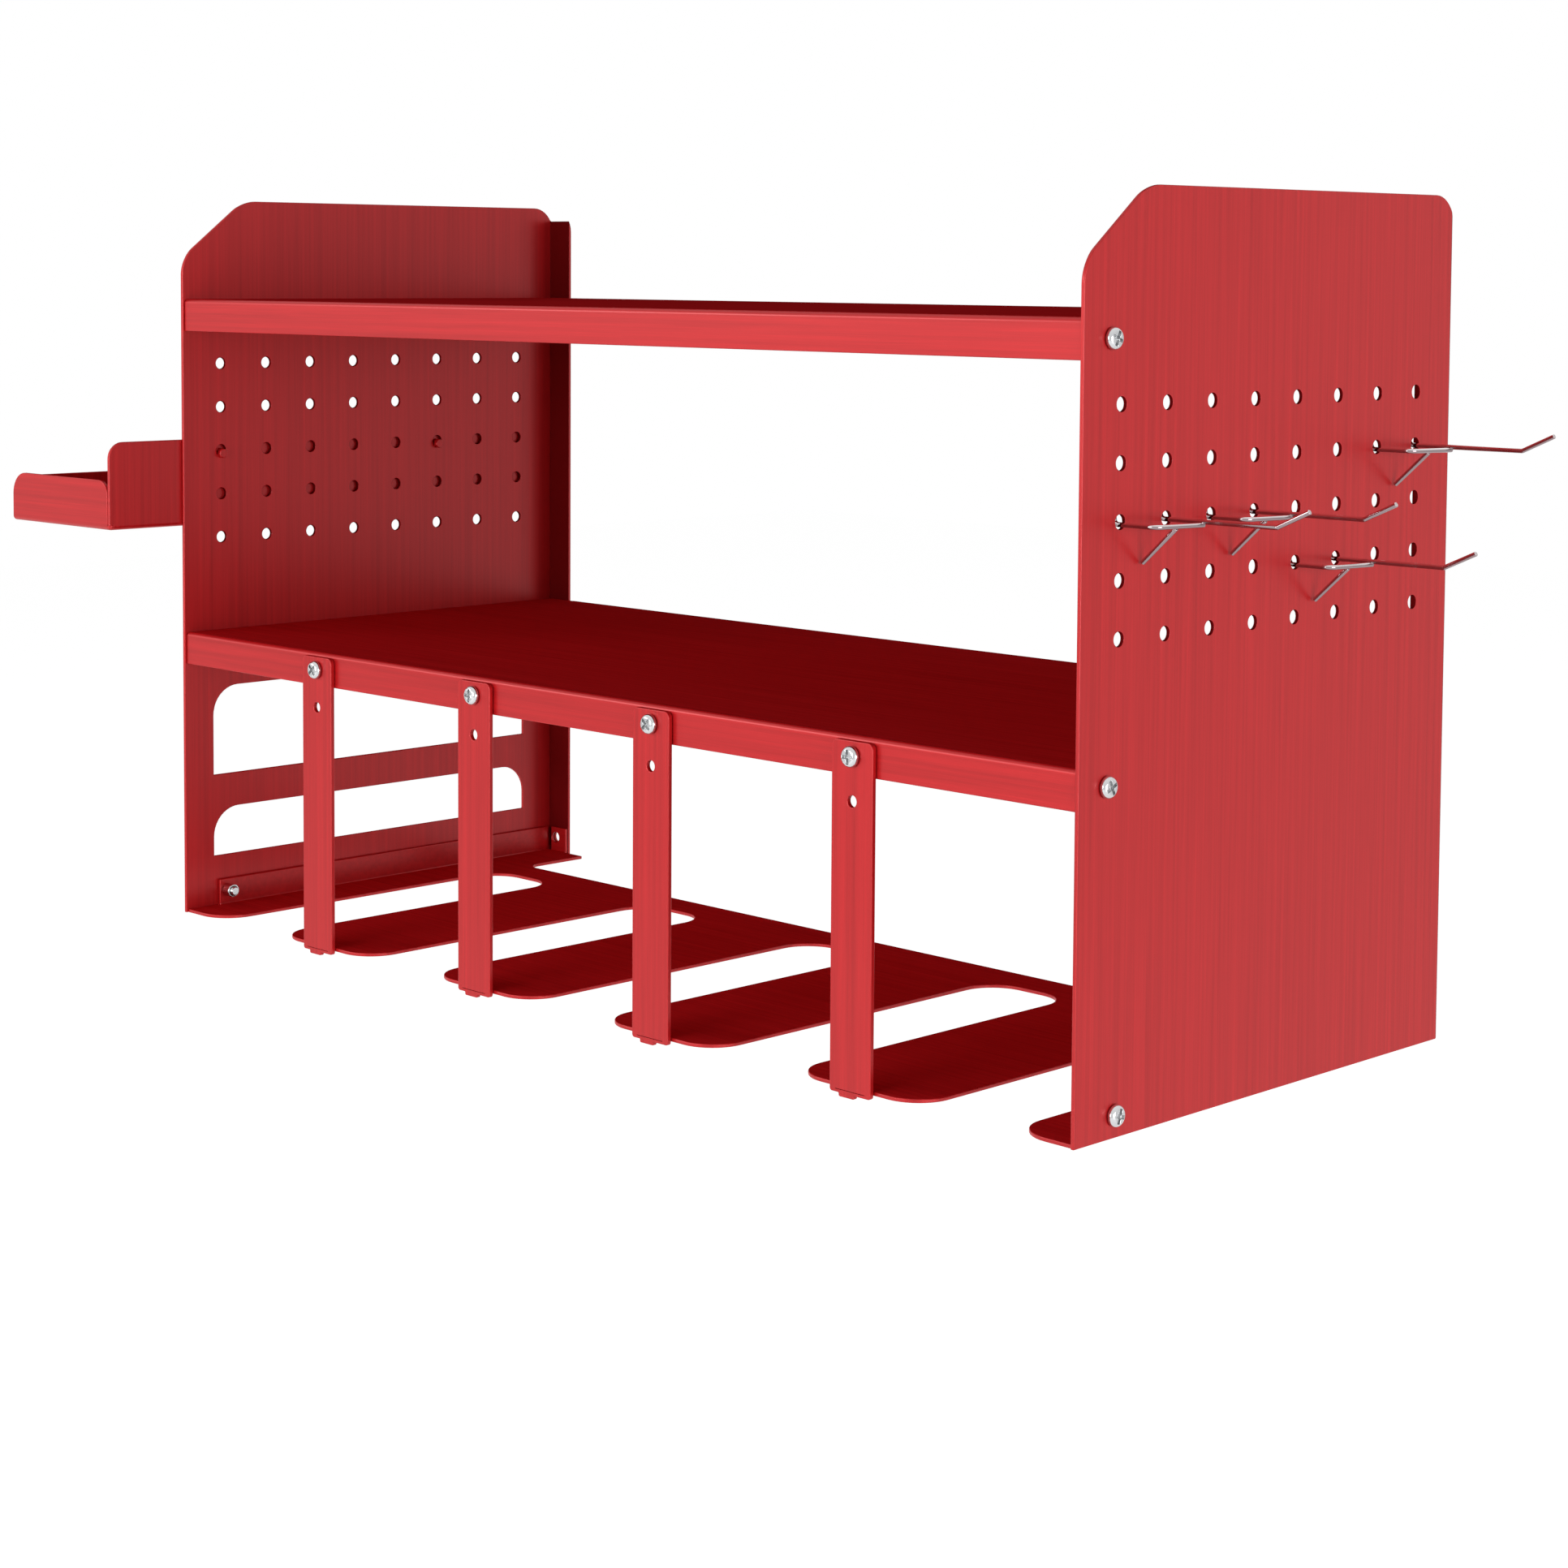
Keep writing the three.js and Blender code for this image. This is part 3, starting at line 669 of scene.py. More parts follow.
# %% [markdown]
# ## The side panels
# The panels carry everything. Each is one sheet with its rear edge folded inwards, where it
# meets the wall. The outline could be drawn before the fold, but its corners would then have to
# be worked out on the flat. So a plain rectangle is folded first and then trimmed with a solid
# of the panel's outline, which also rounds the flange's end. The peg holes are one punch,
# repeated by two Array modifiers and cut in one go.

# %% Read the places of the sheets
right_low, right_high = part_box("right_panel")
upper_low, upper_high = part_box("upper_shelf")
lower_low, lower_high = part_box("lower_shelf")
OUTER = right_high.x
FRONT = right_low.y
WALL = right_high.y
FOOT = right_low.z
CROWN = right_high.z
REAR_FLANGE = right_high.x - right_low.x
LIP_HEIGHT = upper_high.z - upper_low.z
SHEET_HALF = upper_high.x
SHEET_FRONT = upper_low.y
SHELF_SCREW_Y = SHEET_FRONT + 14 * MM
BASE_SCREW_Y = FRONT + 21.5 * MM
SCREW_HEIGHTS = (upper_high.z - LIP_HEIGHT / 2, lower_high.z - LIP_HEIGHT / 2, FOOT + 8.2 * MM)
print("panels", round(2 * OUTER, 4), "m apart and", round(CROWN - FOOT, 4), "m high")

# %% Drill the screw holes
X, Y, Z = Vector((1, 0, 0)), Vector((0, 1, 0)), Vector((0, 0, 1))
BOTH_SIDES = (-1, 1)
OVERRUN = 4 * MM
SCREW_HOLE_RADIUS = 2.25 * MM
WALL_HOLE_RADIUS = 2.75 * MM
WALL_HOLE_X = OUTER - REAR_FLANGE / 2


def drill(x, y, z, axis, radius=SCREW_HOLE_RADIUS):
    """A rod that stands proud of a sheet on both sides, to cut a hole with."""
    return rod(Vector((x, y, z)), axis, radius, 2 * OVERRUN)


def wall_holes(sides, height):
    return [drill(side * WALL_HOLE_X, WALL, height, Y, WALL_HOLE_RADIUS) for side in sides]


def flange_holes(y, height):
    """Holes for the side screws in the flanges of a shelf or the base."""
    return [drill(side * SHEET_HALF, y, height, X) for side in BOTH_SIDES]


# %% Trim a panel
CHAMFER_RUN = 33.8 * MM
CHAMFER_DROP = 26.5 * MM
CHAMFER_TOP_RADIUS = 20 * MM
CHAMFER_FOOT_RADIUS = 15 * MM
REAR_CORNER_RADIUS = 12 * MM


def panel_trim():
    """A solid as wide as the rack with the outline of a panel."""
    reach = OUTER + OVERRUN
    trim = block(Vector((-reach, FRONT, FOOT)), Vector((reach, WALL, CROWN)))
    steep = math.atan2(CHAMFER_DROP, CHAMFER_RUN)
    chamfer_foot = CROWN - CHAMFER_DROP
    with editing(trim):
        pick_all()
        bpy.ops.mesh.bisect(
            plane_co=(0, FRONT, chamfer_foot), plane_no=(0, -CHAMFER_DROP, CHAMFER_RUN),
            clear_outer=True, use_fill=True,
        )
        round_folds(lambda p: near(p.y, FRONT + CHAMFER_RUN) and near(p.z, CROWN),
                    CHAMFER_TOP_RADIUS, CORNER_STEPS, steep)
        round_folds(lambda p: near(p.y, FRONT) and near(p.z, chamfer_foot),
                    CHAMFER_FOOT_RADIUS, CORNER_STEPS, SQUARE - steep)
        round_folds(lambda p: near(p.y, WALL) and near(p.z, CROWN),
                    REAR_CORNER_RADIUS, CORNER_STEPS)
    return trim


# %% Punch peg holes and windows
COLUMN_PITCH = 25.4 * MM
ROW_PITCH = 20.12 * MM
COLUMNS = 8
ROWS = 5
FIRST_COLUMN = FRONT + 20.7 * MM
TOP_ROW = upper_low.z - 15.1 * MM
PEG_HOLE_RADIUS = 2.6 * MM
WINDOW_MARGIN = 15.7 * MM
WINDOW_REAR_MARGIN = 19.5 * MM
WINDOW_RADIUS = 13.5 * MM
WINDOWS = ((FOOT + 24.4 * MM, FOOT + 46.8 * MM), (FOOT + 62.5 * MM, lower_low.z - 12.1 * MM))


def peg_punch(x):
    punch_rod = drill(x, FIRST_COLUMN, TOP_ROW, X, PEG_HOLE_RADIUS)
    for count, step in ((COLUMNS, Y * COLUMN_PITCH), (ROWS, -Z * ROW_PITCH)):
        apply_modifier(punch_rod, "ARRAY", count=count, use_relative_offset=False,
                       use_constant_offset=True, constant_offset_displace=step)
    return punch_rod


def window_punch(x, bottom, top):
    front = FRONT + WINDOW_MARGIN
    rear = WALL - WINDOW_REAR_MARGIN
    window = block(Vector((x - OVERRUN, front, bottom)), Vector((x + OVERRUN, rear, top)))
    with editing(window):
        for end in (front, rear):
            round_folds(lambda p: near(p.z, top) and near(p.y, end), WINDOW_RADIUS,
                        CORNER_STEPS)
    return window


# %% Fold and brush the panels
FLAT_SHARE = 0.9
BENT_SHARE = 0.3
WALL_SHARE = 0.95


def panel_grain(face):
    """Brushed upright, but with painted shade in the peg holes, on the rear bend and inside the
    flange.
    """
    offsets = [(place + pitch / 2) % pitch - pitch / 2 for place, pitch in (
        (face.center.y - FIRST_COLUMN, COLUMN_PITCH), (face.center.z - TOP_ROW, ROW_PITCH))]
    in_hole = math.hypot(*offsets) < PEG_HOLE_RADIUS + EDGE_SOFTNESS
    on_rim = abs(face.normal.x) < FLAT_SHARE and face.center.y < WALL - WINDOW_REAR_MARGIN
    at_rear = face.center.y > WALL - SHEET - BEND_RADIUS
    in_fold = at_rear and abs(face.normal.y) > BENT_SHARE and face.normal.y < WALL_SHARE
    # The hole walls and the rear fold take the painted shade.
    return PAINTED_SHADE_INDEX if (in_hole and on_rim) or in_fold else ALONG_Z


def side_panel(name, side, windows):
    x = side * OUTER
    panel = blank(name, Vector((x, FRONT, FOOT)), Vector((x, WALL, CROWN)), X * side)
    with editing(panel):
        raise_flange(lambda p: near(p.y, WALL), X * (-side * REAR_FLANGE))
        round_folds(lambda p: near(p.y, WALL) and near(p.x, x))
    thicken(panel)
    carve(panel, [panel_trim()], "INTERSECT")
    punches = [window_punch(x, bottom, top) for bottom, top in windows]
    for y, height in zip((SHELF_SCREW_Y, SHELF_SCREW_Y, BASE_SCREW_Y), SCREW_HEIGHTS):
        punches.append(drill(x, y, height, X))
    for height in SCREW_HEIGHTS:
        punches += wall_holes([side], height)
    carve(panel, [peg_punch(x), *punches])
    soften(panel)
    brush(panel, panel_grain)
    return panel


hand_over(side_panel("left_panel_sheet", -1, WINDOWS), "left_panel")
hand_over(side_panel("right_panel_sheet", 1, ()), "right_panel")

# %% [markdown]
# ## The shelves
# A shelf is a sheet with all four edges folded down. It could be a box with an open underside,
# but then it would have closed corners, where the real one has small reliefs that keep the
# folds from tearing into each other. The rear lip steps forward at its ends, a joggle, so that
# each end lies in front of a panel's flange and one wall screw holds both. The two shelves are
# the same, but the lower one has four more holes for the straps' screws.

# %% Measure the shelves
FIT_GAP = 0.25 * MM
RELIEF = 0.8 * MM
SLIT = 0.1 * MM
FOLD_INSET = BEND_RADIUS + SLIT
BEND_END = 2.8 * MM
JOGGLE = 4 * MM
JOGGLE_STEPS = 3
FLANGE_FACE = WALL - SHEET - FIT_GAP
STEP_START = OUTER - REAR_FLANGE - JOGGLE - FIT_GAP
STEP_END = STEP_START + JOGGLE
TAB_END = SHEET_HALF - SHEET - FIT_GAP
FLAT_HALF = SHEET_HALF - FOLD_INSET
SIDE_REAR = FLANGE_FACE - SHEET - RELIEF
JOGGLE_TURN = math.atan2(WALL - FLANGE_FACE, JOGGLE)
SLOTS = 5
TOOTH_PITCH = 108 * MM


def spread(count):
    """Places in a row, one pitch apart, about the middle."""
    return [(i - (count - 1) / 2) * TOOTH_PITCH for i in range(count)]


STRAP_PLACES = spread(SLOTS - 1)
print("straps at", [round(place / MM) for place in STRAP_PLACES], "mm")


# %% Fold the shelves
def rear_joggle(side, top):
    """Draws the end of the rear lip out into a tab that lies further forward."""
    def lip_end(p):
        return near(p.x, side * STEP_START) and near(p.y, WALL) and p.z < top - BEND_END + SLIT

    raise_flange(lip_end, Vector((side * JOGGLE, FLANGE_FACE - WALL, 0)))
    raise_flange(lambda p: near(p.x, side * STEP_END) and near(p.y, FLANGE_FACE),
                 X * side * (TAB_END - STEP_END))


def shelf(name, top, front_holes):
    low = Vector((-SHEET_HALF, SHEET_FRONT, top))
    high = Vector((SHEET_HALF, WALL, top))
    down = -Z * LIP_HEIGHT
    fold_rear = SHEET_FRONT + FOLD_INSET
    side_front = fold_rear - SLIT + BEND_END
    rear_slit = WALL - FOLD_INSET

    def on_side(p):
        return (near(abs(p.x), SHEET_HALF) and near(p.z, top)
                and between(side_front, p.y, SIDE_REAR))

    piece = blank(name, low, high, Z)
    with editing(piece):
        score(X, [side * place for side in BOTH_SIDES for place in (FLAT_HALF, STEP_START)])
        score(Y, [fold_rear, side_front, SIDE_REAR, rear_slit])
        # The waste is a relief before and behind each side flange, and each rear corner.
        punch(lambda p: abs(p.x) > FLAT_HALF and fold_rear < p.y < side_front)
        punch(lambda p: abs(p.x) > FLAT_HALF and p.y > SIDE_REAR)
        punch(lambda p: abs(p.x) > STEP_START and p.y > rear_slit)
        heal()
        raise_flange(lambda p: near(p.y, SHEET_FRONT), down)
        raise_flange(lambda p: near(p.y, WALL) and near(p.z, top), down)
        for side in BOTH_SIDES:
            raise_flange(lambda p: on_side(p) and p.x * side > 0, down)
        score(Z, [top - BEND_END])
        for side in BOTH_SIDES:
            rear_joggle(side, top)
        heal()
        round_folds(lambda p: near(p.z, top) and near(p.y, SHEET_FRONT))
        round_folds(lambda p: near(p.z, top) and near(p.y, WALL))
        round_folds(on_side)
        for x, y in ((STEP_START, WALL), (STEP_END, FLANGE_FACE)):
            round_folds(lambda p: near(abs(p.x), x) and near(p.y, y),
                        turn=JOGGLE_TURN, steps=JOGGLE_STEPS)
    thicken(piece)
    height = top - LIP_HEIGHT / 2
    fronts = [drill(x, SHEET_FRONT, height, Y) for x in front_holes]
    sides = flange_holes(SHELF_SCREW_Y, height)
    carve(piece, sides + wall_holes(BOTH_SIDES, height) + fronts)
    soften(piece)
    brush(piece, ALONG_X)
    return piece


hand_over(shelf("upper_shelf_sheet", upper_high.z, ()), "upper_shelf")
hand_over(shelf("lower_shelf_sheet", lower_high.z, STRAP_PLACES), "lower_shelf")

# %% [markdown]
# ## The slotted base
# The base is a comb: five deep slots with rounded ends, and four free teeth between them. The
# slots could be cut with rounded blocks, but scoring and punching the flat blank keeps each
# wall one clean face. The base's flanges stand up, so the underside is the outer face of the
# sheet and the blank looks down. A narrow tongue on each tooth goes into its strap.

# %% Measure the base
SLOT_HALF = 21.5 * MM
SLOT_PLACES = spread(SLOTS)
SLOT_END = SHEET_FRONT + 162.5 * MM
SLOT_END_RADIUS = 15 * MM
TOOTH_RADIUS = 15.5 * MM
TONGUE_HALF = 7.4 * MM
TONGUE_SETBACK = 0.35 * MM
STRIP_REAR = SLOT_END + 18.5 * MM
ARM_INNER = SLOT_PLACES[-1] + SLOT_HALF
NOTCH_RADIUS = 8 * MM
BASE_FLANGE = 13.3 * MM
strap_low, strap_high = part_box("front_strap_1")
STRAP_FRONT = strap_low.y
base_side_front = FRONT + 17.5 * MM
base_tabs = (OUTER - REAR_FLANGE, SHEET_HALF - BEND_END)
print("slots", 2 * SLOT_HALF / MM, "by", round((SLOT_END - SHEET_FRONT) / MM, 1), "mm")


# %% Punch and fold the base
def in_slot(x):
    return any(abs(x - place) < SLOT_HALF for place in SLOT_PLACES)


def on_tongue(x):
    return any(abs(x - place) < TONGUE_HALF for place in STRAP_PLACES)


def is_slot_corner(p, y):
    return near(p.y, y) and any(near(abs(p.x - place), SLOT_HALF) for place in SLOT_PLACES)


def on_base_side(p):
    return near(abs(p.x), SHEET_HALF) and between(base_side_front, p.y, SIDE_REAR)


base_low = Vector((-SHEET_HALF, STRAP_FRONT + TONGUE_SETBACK, FOOT))
base_high = Vector((SHEET_HALF, FLANGE_FACE, FOOT))
base = blank("comb_sheet", base_low, base_high, -Z)
flat_rear = FLANGE_FACE - FOLD_INSET
notch = base_side_front - RELIEF
with editing(base):
    edges = [place + side * SLOT_HALF for place in SLOT_PLACES for side in BOTH_SIDES]
    edges += [place + side * TONGUE_HALF for place in STRAP_PLACES for side in BOTH_SIDES]
    edges += [side * place for side in BOTH_SIDES for place in (FLAT_HALF, *base_tabs)]
    score(X, edges)
    score(Y, [SHEET_FRONT, notch, base_side_front])
    score(Y, [SLOT_END, STRIP_REAR, SIDE_REAR, flat_rear])
    # The waste is beside the tongues, in the slots, behind the strip and at the corners.
    punch(lambda p: p.y < SHEET_FRONT and not on_tongue(p.x))
    punch(lambda p: p.y < SLOT_END and in_slot(p.x))
    punch(lambda p: p.y > STRIP_REAR and abs(p.x) < ARM_INNER)
    punch(lambda p: abs(p.x) > FLAT_HALF and notch < p.y < base_side_front)
    punch(lambda p: abs(p.x) > FLAT_HALF and p.y > SIDE_REAR)
    punch(lambda p: p.y > flat_rear and not base_tabs[0] < abs(p.x) < base_tabs[1])
    heal()
    round_corners(lambda p: is_slot_corner(p, SHEET_FRONT), TOOTH_RADIUS)
    round_corners(lambda p: is_slot_corner(p, SLOT_END), SLOT_END_RADIUS)
    round_corners(lambda p: near(p.y, STRIP_REAR) and near(abs(p.x), ARM_INNER), NOTCH_RADIUS)
    raise_flange(on_base_side, Z * BASE_FLANGE)
    raise_flange(lambda p: near(p.y, FLANGE_FACE), Z * BASE_FLANGE)
    round_folds(lambda p: on_base_side(p) and near(p.z, FOOT))
    round_folds(lambda p: near(p.y, FLANGE_FACE) and near(p.z, FOOT))
thicken(base)
base_height = SCREW_HEIGHTS[-1]
carve(base, wall_holes(BOTH_SIDES, base_height) + flange_holes(BASE_SCREW_Y, base_height))
soften(base)
brush(base, ALONG_X)
hand_over(base, "slotted_base")

# %% [markdown]
# ## The front straps
# A strap is a thicker flat bar that hangs the free end of a tooth from the lower shelf's lip.
# The tooth's tongue sits in a slot that is ground flush and painted over, so that only a fine
# line shows below it. The slot could go right through, but then its outline would show, so it
# is cut from behind and stops under a thin skin. The line is cut last, after the edges are
# rounded, so that it stays sharp. The strap is modelled once and copied three times.

# %% Cut the straps
STRAP_HALF = 10.25 * MM
STRAP_SHEET = 2 * MM
STRAP_TOP_RADIUS = 2.6 * MM
STRAP_FOOT = FOOT - 1.3 * MM
STRAP_FOOT_RADIUS = 1.2 * MM
STRAP_TAB_HALF = 3.9 * MM
STRAP_TAB_SHIFT = -1.8 * MM
STRAP_TAB_RADIUS = 0.7 * MM
STRAP_SLOT_HALF = 7.65 * MM
STRAP_SKIN = 0.3 * MM
SPARE_HOLE_DROP = 16.5 * MM


def front_strap(x):
    low = Vector((x - STRAP_HALF, STRAP_FRONT, strap_low.z))
    high = Vector((x + STRAP_HALF, STRAP_FRONT, strap_high.z))
    tab = x + STRAP_TAB_SHIFT
    strap = blank("strap_1", low, high, -Y)
    with editing(strap):
        score(X, [tab - STRAP_TAB_HALF, tab + STRAP_TAB_HALF])
        score(Z, [STRAP_FOOT])
        punch(lambda p: abs(p.x - tab) > STRAP_TAB_HALF and p.z < STRAP_FOOT)
        heal()
        round_corners(lambda p: near(p.z, high.z), STRAP_TOP_RADIUS)
        round_corners(lambda p: near(p.z, low.z), STRAP_TAB_RADIUS)
        round_corners(lambda p: near(p.z, STRAP_FOOT) and near(abs(p.x - x), STRAP_HALF),
                      STRAP_FOOT_RADIUS)
    thicken(strap, STRAP_SHEET)
    slot_low = Vector((x - STRAP_SLOT_HALF, STRAP_FRONT + STRAP_SKIN, FOOT - FIT_GAP))
    slot_high = Vector((x + STRAP_SLOT_HALF, SHEET_FRONT, FOOT + SHEET + FIT_GAP))
    cutters = [block(slot_low, slot_high)]
    for height in (SCREW_HEIGHTS[1], SCREW_HEIGHTS[1] - SPARE_HOLE_DROP):
        cutters.append(drill(x, STRAP_FRONT, height, Y))
    carve(strap, cutters)
    soften(strap)
    line_low = Vector((x - TONGUE_HALF, STRAP_FRONT - OVERRUN, FOOT - FIT_GAP / 2))
    line_high = Vector((x + TONGUE_HALF, STRAP_FRONT + 2 * STRAP_SKIN, FOOT + FIT_GAP / 2))
    carve(strap, [block(line_low, line_high)], solver="MANIFOLD")
    shade(strap)
    brush(strap, ALONG_Z)
    return strap


# %% Copy the strap
def copy_of(piece, name, move, turn=Quaternion()):
    activate(piece)
    bpy.ops.object.duplicate()
    twin = named(name)
    twin.location = move
    twin.rotation_euler = turn.to_euler()
    return settle(twin)


first_strap = front_strap(STRAP_PLACES[0])
for number in (2, 3, 4):
    strap = copy_of(first_strap, f"strap_{number}", X * TOOTH_PITCH * (number - 1))
    hand_over(strap, f"front_strap_{number}")
hand_over(first_strap, "front_strap_1")

# %% [markdown]
# ## The tray
# The tray hangs on the outside of the left panel by two lugs. It is one sheet too: a floor, a
# high back with wide round corners, a lower outer wall, and two end walls. It could be a box
# with its top taken off, but then the walls' ends would not show. Only the floor's edges are
# folded. The back and the end walls are drawn out sideways to close the rear corners, where a
# ball joins the two folds, and a slit parts the outer wall from the end walls. The tray can be
# lifted off, so it rides on its own body.

# %% Measure the tray
tray_low, tray_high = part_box("tray")
TRAY_BACK = -OUTER - FIT_GAP
TRAY_BACK_RADIUS = 7.5 * MM
TRAY_END_HEIGHT = 22.5 * MM
TRAY_OUTER_HEIGHT = 20.7 * MM
TRAY_OUTER_RADIUS = 10 * MM
TRAY_INNER_RADIUS = 7 * MM
WALL_SLIT = 0.3 * MM
END_INNER = TRAY_BACK - SHEET - FIT_GAP
tray_middle = (tray_low.y + tray_high.y) / 2
tray_half = (tray_high.y - tray_low.y) / 2
print("tray", round(2 * tray_half / MM, 1), "mm long")


# %% Fold the tray
def folded_tray():
    floor_z = tray_low.z
    tray = blank("tray_sheet", Vector((tray_low.x, tray_low.y, floor_z)),
                 Vector((TRAY_BACK, tray_high.y, floor_z)), -Z)
    across = (tray_low.x + FOLD_INSET, TRAY_BACK - FOLD_INSET)
    along = (tray_low.y + FOLD_INSET, tray_high.y - FOLD_INSET)
    outer_wall = (along[0] + WALL_SLIT, along[1] - WALL_SLIT)

    def is_end(p):
        return near(abs(p.y - tray_middle), tray_half)

    with editing(tray):
        score(X, across)
        score(Y, (*along, *outer_wall))
        punch(lambda p: p.x > across[1] and not along[0] < p.y < along[1])
        punch(lambda p: p.x < across[0] and along[0] < p.y < along[1]
              and not outer_wall[0] < p.y < outer_wall[1])
        heal()
        raise_flange(lambda p: near(p.x, TRAY_BACK), Z * (tray_high.z - floor_z))
        raise_flange(lambda p: near(p.x, tray_low.x)
                     and between(outer_wall[0], p.y, outer_wall[1]), Z * TRAY_OUTER_HEIGHT)
        raise_flange(lambda p: is_end(p) and near(p.z, floor_z), Z * TRAY_END_HEIGHT)
        score(Z, [floor_z + FOLD_INSET])
        for side, end in zip(BOTH_SIDES, along):
            raise_flange(lambda p: near(p.x, TRAY_BACK) and near(p.y, end)
                         and p.z > floor_z + BEND_RADIUS, Y * side * FOLD_INSET)
        raise_flange(lambda p: near(p.x, across[1]) and is_end(p)
                     and p.z > floor_z + BEND_RADIUS, X * (END_INNER - across[1]))
        heal()
        round_folds(lambda p: near(p.z, floor_z))
        round_corners(lambda p: near(p.z, tray_high.z), TRAY_BACK_RADIUS)
        end_top = floor_z + TRAY_END_HEIGHT
        round_corners(lambda p: near(p.z, end_top) and near(p.x, tray_low.x), TRAY_OUTER_RADIUS)
        round_corners(lambda p: near(p.z, end_top) and near(p.x, END_INNER), TRAY_INNER_RADIUS)
        wall_top = floor_z + TRAY_OUTER_HEIGHT
        round_corners(lambda p: near(p.z, wall_top) and near(p.x, tray_low.x),
                      TRAY_OUTER_RADIUS)
    thicken(tray)
    return tray


# %% Turn the lugs and the corner balls
LUG_Z = tray_high.z - 6.2 * MM
LUG_NECK_RADIUS = 1.5 * MM
LUG_NECK_LENGTH = 2 * MM
LUG_HEAD_RADIUS = 2.15 * MM
LUG_SPREAD = 5 * COLUMN_PITCH / 2
CORNER_PLAY = 0.02 * MM
FACING_SHARE = 0.7


def lug(y):
    """A headed stud that goes through a peg hole and drops behind the panel."""
    neck_end = TRAY_BACK + LUG_NECK_LENGTH
    root = TRAY_BACK - SHEET / 2
    stud = rod(Vector(((root + neck_end) / 2, y, LUG_Z)), X, LUG_NECK_RADIUS, neck_end - root)
    with editing(stud):
        pick("FACE", lambda p: near(p.x, neck_end))
        draw_out()
        share = LUG_HEAD_RADIUS / LUG_NECK_RADIUS
        bpy.ops.transform.resize(value=(1, share, share))
        bpy.ops.transform.translate(value=-Z * (LUG_HEAD_RADIUS - LUG_NECK_RADIUS))
        draw_out(X * (tray_high.x - neck_end))
    return stud


def tray_grain(face):
    """Brushed across on the end walls, upright on the back, and lengthways elsewhere."""
    if abs(face.normal.y) > FACING_SHARE:
        return ALONG_X
    on_back = face.normal.x > 0 or face.center.x > END_INNER
    return ALONG_Z if on_back and abs(face.normal.x) > FACING_SHARE else ALONG_Y


def corner_ball(side):
    """The ball-shaped corner under the back wall's end, where two folds meet."""
    end = tray_middle + side * (tray_half - CORNER_PLAY)
    corner = Vector((TRAY_BACK - CORNER_PLAY, end, tray_low.z + CORNER_PLAY))
    inner = corner + FOLD_INSET * Vector((-1, -side, 1))
    ball = block(Vector(map(min, corner, inner)), Vector(map(max, corner, inner)))
    with editing(ball):
        round_folds(lambda p: sum(near(p[i], corner[i]) for i in range(3)) > 1)
    return ball


tray = folded_tray()
carve(tray, [lug(tray_middle + side * LUG_SPREAD) for side in BOTH_SIDES], "UNION")
soften(tray)
carve(tray, [corner_ball(side) for side in BOTH_SIDES], "UNION", "MANIFOLD")
shade(tray)
brush(tray, tray_grain)
hand_over(tray, "tray", "side_tray")

# %% [markdown]
# ## Screws and clinch nuts
# Ten pan head screws hold the sheets, each in a round nut that is pressed into the inner sheet.
# A screw could be a profile spun round its axis, but the head's cylinder needs fewer points to
# be typed: its top rim is bevelled to a dome, its underside is inset and drawn out into the
# shank, and a cross is cut in the top. The shank is scored and every other ring is narrowed
# for the thread. Each copy is turned its own way, as real screws are.

# %% Turn a screw
HEAD_SIDES = 32
HEAD_RADIUS = 4 * MM
HEAD_HEIGHT = 2.6 * MM
DOME_DROP = 1.85 * MM
DOME_STEPS = 6
SHANK_RADIUS = 2 * MM
SHANK_LENGTH = 10.2 * MM
THREAD_START = 2 * MM
THREAD_PITCH = 0.7 * MM
THREAD_DEPTH = 0.25 * MM
CROSS_LENGTH = 5.4 * MM
CROSS_WIDTH = 1.3 * MM
CROSS_DEPTH = 1.7 * MM
RIM_RADIUS = 0.5 * MM
RIM_STEPS = 3
SCREW_SOFTNESS = 0.1 * MM
SMALL_STEPS = 2


def pan_screw():
    """A screw at the origin with its head up and the head's underside at z = 0."""
    screw = rod(Z * HEAD_HEIGHT / 2, Z, HEAD_RADIUS, HEAD_HEIGHT, HEAD_SIDES)
    with editing(screw):
        pick("FACE", lambda p: near(p.z, 0))
        bpy.ops.mesh.inset(thickness=HEAD_RADIUS - SHANK_RADIUS)
        draw_out(-Z * SHANK_LENGTH)
        rings = int((SHANK_LENGTH - THREAD_START) / THREAD_PITCH * 2)
        places = [-THREAD_START - i * THREAD_PITCH / 2 for i in range(rings)]
        score(Z, places)
        share = 1 - THREAD_DEPTH / SHANK_RADIUS
        for place in (*places[::2], -SHANK_LENGTH):
            pick("VERT", lambda p: near(p.z, place))
            bpy.ops.transform.resize(value=(share, share, 1))
        round_folds(lambda p: near(p.z, HEAD_HEIGHT), DOME_DROP, DOME_STEPS)
        round_folds(lambda p: near(p.z, 0) and near(p.xy.length, HEAD_RADIUS),
                    RIM_RADIUS, RIM_STEPS)
    bottom, top = HEAD_HEIGHT - CROSS_DEPTH, HEAD_HEIGHT + OVERRUN
    long, short = CROSS_LENGTH / 2, CROSS_WIDTH / 2
    carve(screw, [block(Vector((-a, -b, bottom)), Vector((a, b, top)))
                  for a, b in ((long, short), (short, long))])
    soften(screw, SCREW_SOFTNESS, SMALL_STEPS)
    return screw


# %% Turn a nut
NUT_RADIUS = 3 * MM
NUT_BORE = 2.25 * MM
NUT_LENGTH = 5 * MM
NUT_SOFTNESS = 0.2 * MM


